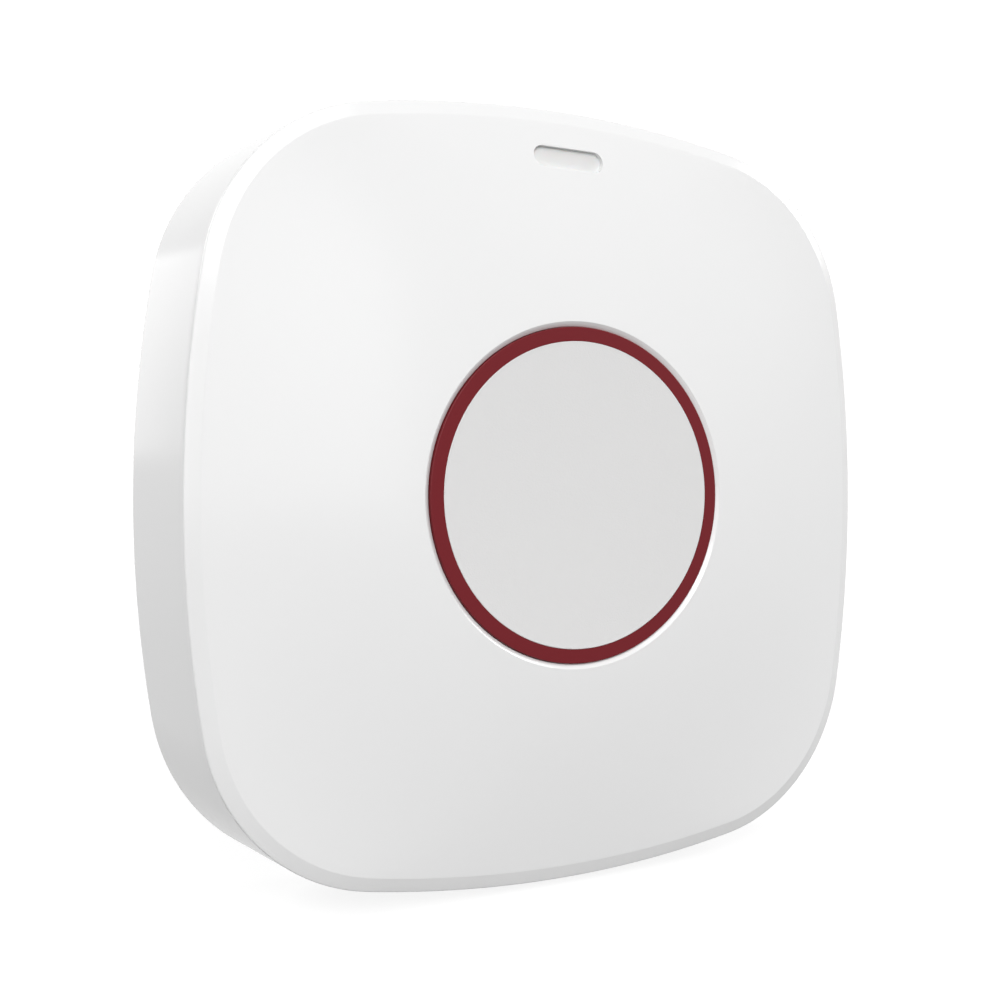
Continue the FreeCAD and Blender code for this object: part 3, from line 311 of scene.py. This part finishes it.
def piece(name, parts, material, body, slot, *nodes):
    """One mesh of closed parts given in mm, merged at seams and poles, faces outward, on its body."""
    points, faces, count = [], [], 0
    for more, sides in parts:
        points.append(more)
        faces += [[number + count for number in side] for side in sides]
        count += len(more)
    mesh = bpy.data.meshes.new(name)
    mesh.from_pydata(np.concatenate(points) * mm, [], faces)
    form = bmesh.new()
    form.from_mesh(mesh)
    bmesh.ops.remove_doubles(form, verts=form.verts, dist=1e-7)
    bmesh.ops.recalc_face_normals(form, faces=form.faces)
    form.to_mesh(mesh)
    form.free()
    mesh.shade_smooth()
    mesh.set_sharp_from_angle(angle=math.radians(35))
    mesh.materials.append(material)
    made = bpy.data.objects.new(name, mesh)
    bpy.context.scene.collection.objects.link(made)
    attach(made, body)
    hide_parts(*nodes)
    return made


red = moulded("dark red plastic", (0.150, 0.0095, 0.0145), (0.165, 0.011, 0.016), 0.34, 0.42, grain=5000,
              relief=0.03, Specular_IOR_Level=0.2)
hole_radius, face_centre_depth = 15.2, 16.76
ring_radius, ring_front, button_back, cap_seat = 14.72, 16.75, 13.6, 15.46
cap_radius = 13.465
seat_radius = cap_radius + 0.005
plunger_radius, plunger_back = 3, 12.7
ring_profile = rounded([
    (0, button_back, 0), (ring_radius, button_back, 0.15), (ring_radius, ring_front, 0.09),
    (seat_radius, ring_front, 0), (seat_radius, cap_seat, 0), (0, cap_seat, 0)])
plunger = rounded([
    (0, plunger_back, 0), (plunger_radius, plunger_back, 0.2), (plunger_radius, button_back, 0),
    (0, button_back, 0)])
button_parts = [turned(ring_profile), turned(plunger, 64)]
ear_angles, ear_front = (30, 150, 270), 14.6
spigot_angles = (90, 210, 330)
for angle in ear_angles:
    button_parts.append(bar(oblong(12, 16.4, 5), button_back, ear_front, angle))
for angle in range(0, 360, 60):
    button_parts.append(bar(oblong(0, 13.5, 1), 12.9, button_back, angle))
for angle in spigot_angles:
    button_parts.append(bar(oblong(9.6, 11.4, 1.8), 12.8, button_back, angle))
piece("red_button_moulding", button_parts, red, "button", "red_plastic", "button_body")


# Return springs: three coils of hard drawn steel wire that stand on the board round the button's
# spigots, and a finer one between the tamper switch's pin and case. Their end turns lie closed.

def coil(node, radius, wire, turns):
    """Points and faces of a spring in a node's box: share s of the way along, the wire's middle has
    turned by 2 pi turns s and stands (turns s - 0.75) / (turns - 1.5) up, held between 0 and 1. The
    wire's section is radius + wire cos(a) out and wire sin(a) up, and shrinks to a point at its ends."""
    low, high = np.array(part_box(node)) / mm
    x, back, front, z = (low[0] + high[0]) / 2, -high[1] + wire, -low[1] - wire, (low[2] + high[2]) / 2
    marks, sides, closed = turns * 24 + 1, 8, 0.75
    share = np.concatenate([[0], np.linspace(0, 1, marks), [1]])[:, None]
    thick = np.concatenate([[0], np.full(marks, wire), [0]])[:, None]
    around = np.linspace(0, 2 * math.pi, sides, endpoint=False)
    rise = np.clip((turns * share - closed) / (turns - 2 * closed), 0, 1)
    depth = back + (front - back) * rise + thick * np.sin(around)
    reach = radius + thick * np.cos(around)
    turn = 2 * math.pi * turns * share
    points = np.stack([x + reach * np.cos(turn), -depth, z + reach * np.sin(turn)], -1)
    return points.reshape(-1, 3), strips(np.arange(points.size // 3).reshape(-1, sides)).tolist()


for spring_number in (1, 2, 3):
    node = f"return_spring_{spring_number}"
    spring = piece(f"coil_spring_{spring_number}", [coil(node, 1.7, 0.2, 5)], spring_steel,
                   "housing", "spring_steel", node)
    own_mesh(spring)

spring = piece("tamper_coil_spring", [coil("tamper_spring", 1.4, 0.11, 6)], spring_steel, "housing",
               "spring_steel", "tamper_spring")
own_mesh(spring)


# Button cap: a light grey disc with a fine matt grain, pressed into the button. Its face is a
# shallow dish and its edge a small round that catches the light.

grey = moulded("matt grey plastic", (0.742, 0.738, 0.737), (0.758, 0.754, 0.753), 0.5, 0.58,
               grain=7000, relief=0.12)
dish = 0.25
reach = np.linspace(1, 0, 40)[:, None] * (cap_radius - 0.09)
dished = np.hstack([reach, face_centre_depth - dish * (1 - (reach / cap_radius) ** 2)])
cap_rim = corner_arc((cap_radius, cap_seat), (cap_radius, face_centre_depth),
                     (0, face_centre_depth - 0.1), 0.07, 4)
cap_profile = np.vstack([[(0, cap_seat)], [(cap_radius, cap_seat)], cap_rim, dished])
piece("grey_button_cap", [turned(cap_profile)], grey, "button", "grey_cap", "button_cap")


# Status lens: a milky light guide, a round-ended bar in the window with a square flange behind it.

milk = moulded("milky plastic", (0.745, 0.745, 0.74), (0.765, 0.765, 0.76), 0.34, 0.44, relief=0.01,
               Subsurface_Weight=0.12, Subsurface_Scale=0.0004)
window_z, window_length, window_width = 29.86, 7.2, 1.9


def round_ended(length, width, profile, z, count=40):
    """Points and faces of a profile of (inset, depth) carried round a bar with round ends:
    a point is the end's centre plus (radius less inset) times (cos, sin) of its direction."""
    turn = np.concatenate([np.linspace(-math.pi / 2, math.pi / 2, count),
                           np.linspace(math.pi / 2, 1.5 * math.pi, count)])
    side = np.repeat([1, -1], count) * (length - width) / 2
    radius = width / 2 - profile[:, :1]
    points = np.stack([side + radius * np.cos(turn), -profile[:, 1:] + 0 * turn,
                       z + radius * np.sin(turn)], -1)
    rows = np.arange(points.size // 3).reshape(len(profile), -1)
    return points.reshape(-1, 3), strips(rows).tolist() + [rows[0].tolist(), rows[-1].tolist()]


lens_front = 14.13
lens_profile = rounded([(0, 9.4, 0), (0, lens_front, 0.015), (0.8, lens_front, 0)])
flange = [(-4.1, window_z - 1.45), (4.1, window_z - 1.45), (4.1, window_z + 1.45), (-4.1, window_z + 1.45)]
piece("milky_light_guide", [round_ended(7.198, 1.898, lens_profile, window_z), bar(flange, 11.99, 12.58)],
      milk, "housing", "clear_lens", "status_lens")


# Front cover: one glossy white moulding with a pillowed face, a level bevel and drafted sides.
# Its outline is four bowed sides and four corner arcs; level lines of the face ease to the hole's circle.

white = moulded("glossy white plastic", (0.86, 0.86, 0.86), (0.88, 0.88, 0.88), 0.16, 0.2, grain=5000,
                relief=0.004)
half_width, bow_radius, corner_radius, wall = 35.0, 114.5, 17.6, 1.8
rim_depth, edge_depth, side_draft, bevel_width, bevel_depth = 0.3, 13.54, 0.7, 1.24, 0.5
shoulder_half, shoulder_depth = half_width - side_draft - bevel_width, edge_depth + bevel_depth
swing, drop = bow_radius - corner_radius, bow_radius - half_width
corner_place = (math.sqrt(2 * swing ** 2 - drop ** 2) - drop) / 2
join = math.atan2(corner_place, corner_place + drop)
squareness = shoulder_half / (bow_radius - side_draft - bevel_width)
face_radius = (shoulder_half ** 2 - hole_radius ** 2) / (2 * (face_centre_depth - shoulder_depth))


def soft_square(half, bow, facing):
    """Outline of four bowed sides and four corner arcs, by the direction in which it faces. On a
    side the point is the bow's centre plus bow radius times (cos, sin) of that direction; past the
    join it is the corner's centre plus corner radius times the same. Both turn by quarters."""
    lean = math.tan(join)
    centre = (bow - half) * lean / (1 - lean)
    corner = bow - centre / math.sin(join)
    quarter = np.round(facing / (math.pi / 2)) * math.pi / 2
    off = facing - quarter
    side = np.abs(off) <= join + 1e-9
    out = np.where(side, half - bow + bow * np.cos(off), centre + corner * np.cos(off))
    along = np.where(side, bow * np.sin(off), np.sign(off) * centre + corner * np.sin(off))
    return out * np.cos(quarter) - along * np.sin(quarter), out * np.sin(quarter) + along * np.cos(quarter)


def face_bow(half):
    """Bow of a level line: the housing's at the bevel, easing to a circle at the hole."""
    run = np.clip((half - hole_radius) / (shoulder_half - hole_radius), 0, 1.1)
    return half / (1 - (1 - squareness) * run ** 1.6)


def face_depth(half):
    """Depth of the pillow: it falls with the square of the level line's half width."""
    return shoulder_depth + (shoulder_half ** 2 - half ** 2) / (2 * face_radius)


def level_through(x, z):
    """Half width of the level line through each point of the face, found by halving a range."""
    low, high = np.full(x.shape, 1.0), np.full(x.shape, 70.0)
    far, near = np.maximum(np.abs(x), np.abs(z)), np.minimum(np.abs(x), np.abs(z))
    lean = math.tan(join)
    for _ in range(45):
        middle = (low + high) / 2
        bow = face_bow(middle)
        centre = (bow - middle) * lean / (1 - lean)
        beside = np.hypot(far - middle + bow, near) - bow
        cornered = np.hypot(far - centre, near - centre) - (bow - centre / math.sin(join))
        outside = np.where(np.arctan2(near, far - middle + bow) <= join, beside, cornered) > 0
        low, high = np.where(outside, middle, low), np.where(outside, high, middle)
    return high


def side_inset(depth):
    """How far the drafted side stands in from the back rim at a depth."""
    return side_draft * (depth - rim_depth) / (edge_depth - rim_depth)


side_count, corner_count = 60, 44
facing = np.concatenate([quarter * math.pi / 2 + turns for quarter in range(4) for turns in (
    np.linspace(-join, join, side_count, endpoint=False),
    np.linspace(join, math.pi / 2 - join, corner_count, endpoint=False))])
lip, step_depth, throat_radius = 0.04, 16.45, 14.76
lip_level = hole_radius + lip
side_depths = np.linspace(rim_depth + 0.15, edge_depth - 0.8, 22)
edge_round = corner_arc((0, rim_depth), (side_draft, edge_depth),
                        (side_draft + bevel_width, shoulder_depth), 0.18, 6)
bevel_share = np.array([0.3, 0.6, 0.97, 1.0])[:, None]
bevel = np.array([side_draft, edge_depth]) + bevel_share * np.array([bevel_width, bevel_depth])
face_levels = np.concatenate([[shoulder_half - 0.04], np.linspace(shoulder_half - 0.3, lip_level + 0.3, 50),
                              [lip_level + 0.03]])
lip_round = corner_arc((hole_radius + 2, face_depth(hole_radius + 2)), (hole_radius, face_depth(hole_radius)),
                       (throat_radius + 0.06, step_depth + 0.04), lip, 4)
bore = np.array([(throat_radius + 0.06, step_depth + 0.04), (throat_radius + 0.02, step_depth),
                 (throat_radius, step_depth - 0.03), (throat_radius, 15.6), (throat_radius, 15.0)])

# Rows of the closed skin, each as half width, bow radius and depth: out round the rim, up the
# side, over bevel and face, down the bore, and back along the inner face and the inner side.
rim_insets, rim_depths = [0.15, 0.04, 0.0], [rim_depth, rim_depth + 0.04, rim_depth + 0.15]
first_side = len(rim_depths)
insets = 0.01 + np.concatenate([rim_insets, side_inset(side_depths), edge_round[:, 0], bevel[:, 0]])
depths = np.concatenate([rim_depths, side_depths, edge_round[:, 1], bevel[:, 1]])
outer = np.stack([half_width - insets, bow_radius - insets, depths], 1)
face = np.stack([face_levels, face_bow(face_levels), face_depth(face_levels)], 1)
mouth = np.vstack([lip_round, bore])
mouth = np.stack([mouth[:, 0], mouth[:, 0] + 1e-6, mouth[:, 1]], 1)
under_levels = face_levels[(face_levels < shoulder_half - 1.2)][::-1]
under = np.stack([under_levels, face_bow(under_levels), face_depth(under_levels) - wall], 1)
inner_depths = side_depths[side_depths < edge_depth - wall - 0.6][::-1]
inner = np.stack([half_width - wall - side_inset(inner_depths), bow_radius - wall - side_inset(inner_depths),
                  inner_depths], 1)
foot = np.array([[half_width - wall, bow_radius - wall, rim_depth]])
rows = np.vstack([outer, face, mouth, under, inner, foot])
across, up = soft_square(rows[:, :1], rows[:, 1:2], facing[None, :])
cover_points = np.stack([across, np.broadcast_to(-rows[:, 2:], across.shape), up], -1)
number = np.arange(across.size).reshape(across.shape)
cover_faces = strips(np.vstack([number, number[:1]])).reshape(len(rows), len(facing), 4)
kept = np.ones(cover_faces.shape[:2], bool)


def round_block(top, bottom, left, right):
    """Vertex numbers round a block of the skin's grid, in order, and the block taken out of the skin."""
    kept[top:bottom, left:right] = False
    return np.concatenate([number[top, left:right], number[top:bottom, right],
                           number[bottom, right:left:-1], number[bottom:top:-1, left]])


def nearest(values, wanted):
    """Place of the value nearest to the one wanted."""
    return int(np.abs(values - wanted).argmin())


def opening(outer_block, inner_block, loops):
    """Faces that lead from the hole in the outer skin through loops of new points to the inner one."""
    start = len(cover_points.reshape(-1, 3)) + sum(len(more) for more in extra_points)
    extra_points.append(loops.reshape(-1, 3))
    fresh = start + np.arange(loops.shape[0] * loops.shape[1]).reshape(loops.shape[:2])
    return strips(np.vstack([outer_block, fresh, inner_block]))


def between(first, second, share):
    """Loops part of the way from one flat loop to another, one for each share."""
    return first + np.asarray(share)[:, None, None] * (second - first)


extra_points, extra_faces = [], []
ease = np.array([0.2, 0.4, 0.58, 0.74, 0.87, 0.96])

# Window in the face: a round-ended slot with a softened lip, its walls straight down to the lens
first_level = len(outer)
first_under = first_level + len(face) + len(mouth)
block_height, block_width = 1.75, 6.6
window_rows = [nearest(face_levels, window_z + reach) for reach in (block_height, -block_height)]
window_under = [first_under + nearest(under_levels, face_levels[row]) for row in window_rows]
slot_middle = nearest(facing, math.pi / 2)
from_middle = slice(slot_middle, slot_middle + side_count // 2)
half_block = nearest(np.abs(across[first_level + window_rows[0], from_middle]), block_width)
columns = slot_middle - half_block, slot_middle + half_block
outer_block = round_block(first_level + window_rows[0], first_level + window_rows[1], *columns)
inner_block = round_block(window_under[1], window_under[0], *columns)
straight = (window_length - window_width) / 2


def slot_loop(block, radius):
    """Loop of the slot's outline, each point on the ray from the slot's spine to the block's point."""
    flat = cover_points.reshape(-1, 3)[block][:, [0, 2]]
    spine = np.stack([np.clip(flat[:, 0], -straight, straight), np.full(len(flat), window_z)], 1)
    ray = flat - spine
    return flat, spine + radius * ray / np.linalg.norm(ray, axis=1, keepdims=True)


def on_face(flat, behind=0.0):
    """Points of the face, or that far behind it, at (x, z)."""
    x, z = flat[..., 0], flat[..., 1]
    return np.stack([x, behind - face_depth(level_through(x, z)), z], -1)


slot_lip = 0.05
block_flat, lip_flat = slot_loop(outer_block, window_width / 2 + slot_lip)
wall_flat = slot_loop(outer_block, window_width / 2)[1]
spread = on_face(between(block_flat, lip_flat, np.append(ease, 1)))
turn = np.linspace(0, math.pi / 2, 5)[1:]
lip_loops = on_face(between(lip_flat, wall_flat, np.sin(turn)))
lip_loops[..., 1] = spread[-1][None, :, 1] + slot_lip * (1 - np.cos(turn))[:, None]
wall_loops = on_face(np.repeat(wall_flat[None], 3, 0))
wall_loops[..., 1] = np.array([lip_loops[-1, :, 1] + 0.03, lip_loops[-1, :, 1] + 0.7,
                               wall_loops[0, :, 1] + wall])


def matched(inner_loop, outer_loop):
    """The inner block's numbers turned and run the same way as the outer block's."""
    points = cover_points.reshape(-1, 3)
    ends = points[outer_loop], points[inner_loop]
    best = min(((order, turned_by) for order in (1, -1) for turned_by in range(len(inner_loop))),
               key=lambda way: np.abs(np.roll(ends[1][::way[0]], way[1], 0) - ends[0]).sum())
    return np.roll(inner_loop[::best[0]], best[1])


inner_block = matched(inner_block, outer_block)
under_flat = cover_points.reshape(-1, 3)[inner_block][:, [0, 2]]
under_loops = on_face(between(wall_flat, under_flat, [0.3, 0.7]), wall)
extra_faces.append(opening(outer_block, inner_block,
                           np.concatenate([spread, lip_loops, wall_loops, under_loops])))

# Hole in the bottom side for the locking screw: a round recess for its head and a narrower way through
screw_depth, recess_radius, shank_radius, recess_floor = 5.2, 2.5, 1.4, -33.29
first_inner = first_under + len(under)
block_height, block_width = 3.6, 3.8
screw_rows = [nearest(side_depths, screw_depth + reach) for reach in (-block_height, block_height)]
screw_inner = [first_inner + nearest(inner_depths, side_depths[row]) for row in screw_rows]
bottom_middle = nearest(facing, 1.5 * math.pi)
from_middle = slice(bottom_middle, bottom_middle + side_count // 2)
half_block = nearest(np.abs(across[first_side + screw_rows[0], from_middle]), block_width)
columns = bottom_middle - half_block, bottom_middle + half_block
outer_block = round_block(first_side + screw_rows[0], first_side + screw_rows[1], *columns)
inner_block = matched(round_block(screw_inner[1], screw_inner[0], *columns), outer_block)


def on_side(flat, behind=0.01):
    """Points of the bottom side, or that far behind it, at (x, depth): the bow's circle about its centre."""
    x, depth = flat[..., 0], flat[..., 1]
    half, bow = half_width - side_inset(depth) - behind, bow_radius - side_inset(depth) - behind
    return np.stack([x, -depth, bow - half - np.sqrt(bow ** 2 - x ** 2)], -1)


block_flat = cover_points.reshape(-1, 3)[outer_block][:, :2] * (1, -1)
ray = block_flat - (0, screw_depth)
ray = ray / np.linalg.norm(ray, axis=1, keepdims=True)
rim_flat, recess_flat, shank_flat = [np.array([0, screw_depth]) + ray * radius
                                     for radius in (recess_radius + slot_lip, recess_radius, shank_radius)]
spread = on_side(between(block_flat, rim_flat, np.append(ease, 1)))
lip_loops = on_side(between(rim_flat, recess_flat, np.sin(turn)))
lip_loops[..., 2] = spread[-1][None, :, 2] + slot_lip * (1 - np.cos(turn))[:, None]
down = on_side(np.stack([recess_flat, recess_flat, recess_flat * 0.98 + np.array([0, screw_depth]) * 0.02,
                         shank_flat, shank_flat]))
down[..., 2] = np.array([lip_loops[-1, :, 2] + 0.03] + [np.full(len(ray), z) for z in (
    recess_floor - 0.03, recess_floor, recess_floor, -half_width + wall + 0.3)])
inner_flat = cover_points.reshape(-1, 3)[inner_block][:, :2] * (1, -1)
extra_faces.append(opening(outer_block, inner_block, np.concatenate(
    [spread, lip_loops, down, on_side(between(shank_flat, inner_flat, [0.3, 0.7]), wall)])))


def box_round(width, height, z):
    """Corners of a rectangle of that width and height about (0, z)."""
    return np.array([(-width, -height), (width, -height), (width, height), (-width, height)]) / 2 + (0, z)


def hollow(outer, inner, low, high):
    """Closed wall between an outer and an inner outline of (x, z) corners, drawn out between two depths."""
    points = np.concatenate([np.stack([flat[:, 0], np.full(len(flat), -depth), flat[:, 1]], 1)
                             for flat, depth in ((outer, low), (outer, high), (inner, high), (inner, low))])
    rows = np.arange(len(points)).reshape(4, -1)
    return points, strips(np.vstack([rows, rows[:1]])).tolist()


# Inside, moulded on: guides for the button's ears, screw bosses with gussets, the window's duct,
# and a thicker patch of the bottom wall round the locking screw
inside = [hollow(box_round(9.9, 4.6, window_z), box_round(8.3, 3.0, window_z), 11.38, 13.5)]
guide_near, guide_far, guide_half = 14.95, 17.6, 3.7
for angle in ear_angles:
    inside.append(bar(oblong(guide_near, guide_far, 2 * guide_half), ear_front, 15.86, angle))
    inside.append(bar([(guide_near, -guide_half), (guide_far, -guide_half), (guide_far, guide_half),
                       (guide_near, guide_half), (guide_near, 2.7), (16.6, 2.7), (16.6, -2.7),
                       (guide_near, -2.7)], 13.1, ear_front, angle))
boss = rounded([(0, edge_depth, 0), (2.8, edge_depth, 0), (2.8, 3.4, 0.15), (1.02, 3.4, 0),
                (1.02, 9.0, 0), (0, 9.0, 0)])
pad_low, pad_high, pad_half = -33.84, -32.29, 4.5
for side in (-1, 1):
    near, far, above = side * shank_radius, side * pad_half, screw_depth + side * 2.2
    inside.append(turned(boss, 48, side * 21.5, -side * 21.5))
    inside.append(bar(oblong(32.9, 39.1, 1), 7.4, edge_depth, 45 - 90 * side))
    inside.append(bar([(near, pad_low), (far, pad_low), (far, pad_high), (near, pad_high)], 2.2, 8.2))
    inside.append(bar([(-shank_radius, pad_low), (shank_radius, pad_low), (shank_radius, pad_high),
                       (-shank_radius, pad_high)], above - 0.8, above + 0.8))

cover_mesh = np.concatenate([cover_points.reshape(-1, 3)] + extra_points)
cover_sides = np.concatenate([cover_faces[kept]] + extra_faces).tolist()
piece("white_front_cover", [(cover_mesh, cover_sides)] + inside, white, "housing", "white_shell",
      "front_cover")


# Studio: pale floor under the object, white background, soft square lamps in front, on both sides and
# behind, and the camera where the photograph was taken from.

def white_to_lens(nodes, link, strength):
    """Glow of that strength for rays from the camera and for those that gloss or clear plastic sends on."""
    rays = nodes.new("ShaderNodeLightPath")
    seen = nodes.new("ShaderNodeMath")
    either = nodes.new("ShaderNodeMath")
    scaled = nodes.new("ShaderNodeMath")
    seen.operation = either.operation = "MAXIMUM"
    scaled.operation = "MULTIPLY"
    scaled.inputs[1].default_value = strength
    link(rays.outputs["Is Camera Ray"], seen.inputs[0])
    link(rays.outputs["Is Glossy Ray"], seen.inputs[1])
    link(seen.outputs[0], either.inputs[0])
    link(rays.outputs["Is Transmission Ray"], either.inputs[1])
    link(either.outputs[0], scaled.inputs[0])
    return scaled


def pale_floor():
    """Paint and a glow that add up to white where no shadow falls. Both fade out away from the object,
    and from below the floor is clear."""
    material = bpy.data.materials.new("pale floor")
    material.use_nodes = True
    nodes, link = material.node_tree.nodes, material.node_tree.links.new
    nodes.clear()
    paint = nodes.new("ShaderNodeBsdfDiffuse")
    paint.inputs["Color"].default_value = (0.22, 0.22, 0.22, 1)
    glow = nodes.new("ShaderNodeEmission")
    both = nodes.new("ShaderNodeAddShader")
    away = nodes.new("ShaderNodeBsdfTransparent")
    where = nodes.new("ShaderNodeTexCoord")
    reach = nodes.new("ShaderNodeVectorMath")
    reach.operation = "LENGTH"
    fade = nodes.new("ShaderNodeMapRange")
    fade.interpolation_type = "SMOOTHSTEP"
    fade.inputs["From Min"].default_value = 0.1
    fade.inputs["From Max"].default_value = 0.35
    below = nodes.new("ShaderNodeNewGeometry")
    clear = nodes.new("ShaderNodeMath")
    clear.operation = "MAXIMUM"
    mix = nodes.new("ShaderNodeMixShader")
    out = nodes.new("ShaderNodeOutputMaterial")
    link(white_to_lens(nodes, link, 0.87).outputs[0], glow.inputs["Strength"])
    link(where.outputs["Object"], reach.inputs[0])
    link(reach.outputs["Value"], fade.inputs["Value"])
    link(paint.outputs[0], both.inputs[0])
    link(glow.outputs[0], both.inputs[1])
    link(fade.outputs["Result"], clear.inputs[0])
    link(below.outputs["Backfacing"], clear.inputs[1])
    link(clear.outputs[0], mix.inputs["Fac"])
    link(both.outputs[0], mix.inputs[1])
    link(away.outputs[0], mix.inputs[2])
    link(mix.outputs[0], out.inputs["Surface"])
    return material


floor_mesh = bpy.data.meshes.new("floor")
floor_half = 0.4
floor_mesh.from_pydata([(x * floor_half, y * floor_half, cad_low[2])
                        for x, y in ((-1, -1), (1, -1), (1, 1), (-1, 1))], [], [(0, 1, 2, 3)])
floor_mesh.materials.append(pale_floor())
floor = bpy.data.objects.new("floor", floor_mesh)
bpy.context.scene.collection.objects.link(floor)

world = bpy.data.worlds.new("white studio")
bpy.context.scene.world = world
world.use_nodes = True
nodes, link = world.node_tree.nodes, world.node_tree.links.new
nodes.clear()
room = nodes.new("ShaderNodeBackground")
room.inputs["Strength"].default_value = 0.1
white_wall = nodes.new("ShaderNodeBackground")
both = nodes.new("ShaderNodeAddShader")
out = nodes.new("ShaderNodeOutputWorld")
for colour in (room, white_wall):
    colour.inputs["Color"].default_value = (1, 1, 1, 1)
link(white_to_lens(nodes, link, 1.0).outputs[0], white_wall.inputs["Strength"])
link(room.outputs[0], both.inputs[0])
link(white_wall.outputs[0], both.inputs[1])
link(both.outputs[0], out.inputs["Surface"])


def lamp(name, azimuth, height, power, size=0.3, away=0.8):
    """Soft square lamp that faces the button from that far away: azimuth 0 is straight in front of
    it and grows to the right, height is the angle above it."""
    light = bpy.data.lights.new(name, "AREA")
    light.shape = "SQUARE"
    light.size, light.energy = size, power
    made = bpy.data.objects.new(name, light)
    bpy.context.scene.collection.objects.link(made)
    round_by, up_by = math.radians(azimuth), math.radians(height)
    made.location = (away * math.sin(round_by) * math.cos(up_by), -away * math.cos(round_by) * math.cos(up_by),
                     away * math.sin(up_by))
    button_middle = Vector((0, -0.01, 0))
    made.rotation_euler = (made.location - button_middle).to_track_quat("Z", "Y").to_euler()
    made.visible_camera = False
    return made


lamp("lamp behind on the left", -135, 28, 2.8)
lamp("front lamp", -20, 28, 2.8)
lamp("high front lamp", -8, 48, 1.3, 0.4)
lamp("lamp on the right", 72, 28, 1.8)
lamp("low lamp on the left", -42, 12, 1.2, 0.4)
lamp("low front lamp", -2, 12, 0.7, 0.4)
lamp("low lamp behind", -165, 10, 0.14, 0.22)
lamp("low lamp behind on the right", 165, 10, 1.4, 0.22)

camera = bpy.data.cameras.new("camera")
camera.lens, camera.sensor_width, camera.shift_y = 47.37, 36, -0.02405
eye = bpy.data.objects.new("camera", camera)
bpy.context.scene.collection.objects.link(eye)
eye.location = (-0.06206, -0.11394, 0.00126)
eye.rotation_euler = (math.radians(90.206), 0, -math.radians(29.0))
bpy.context.scene.camera = eye
bpy.context.scene.view_settings.view_transform = "Standard"
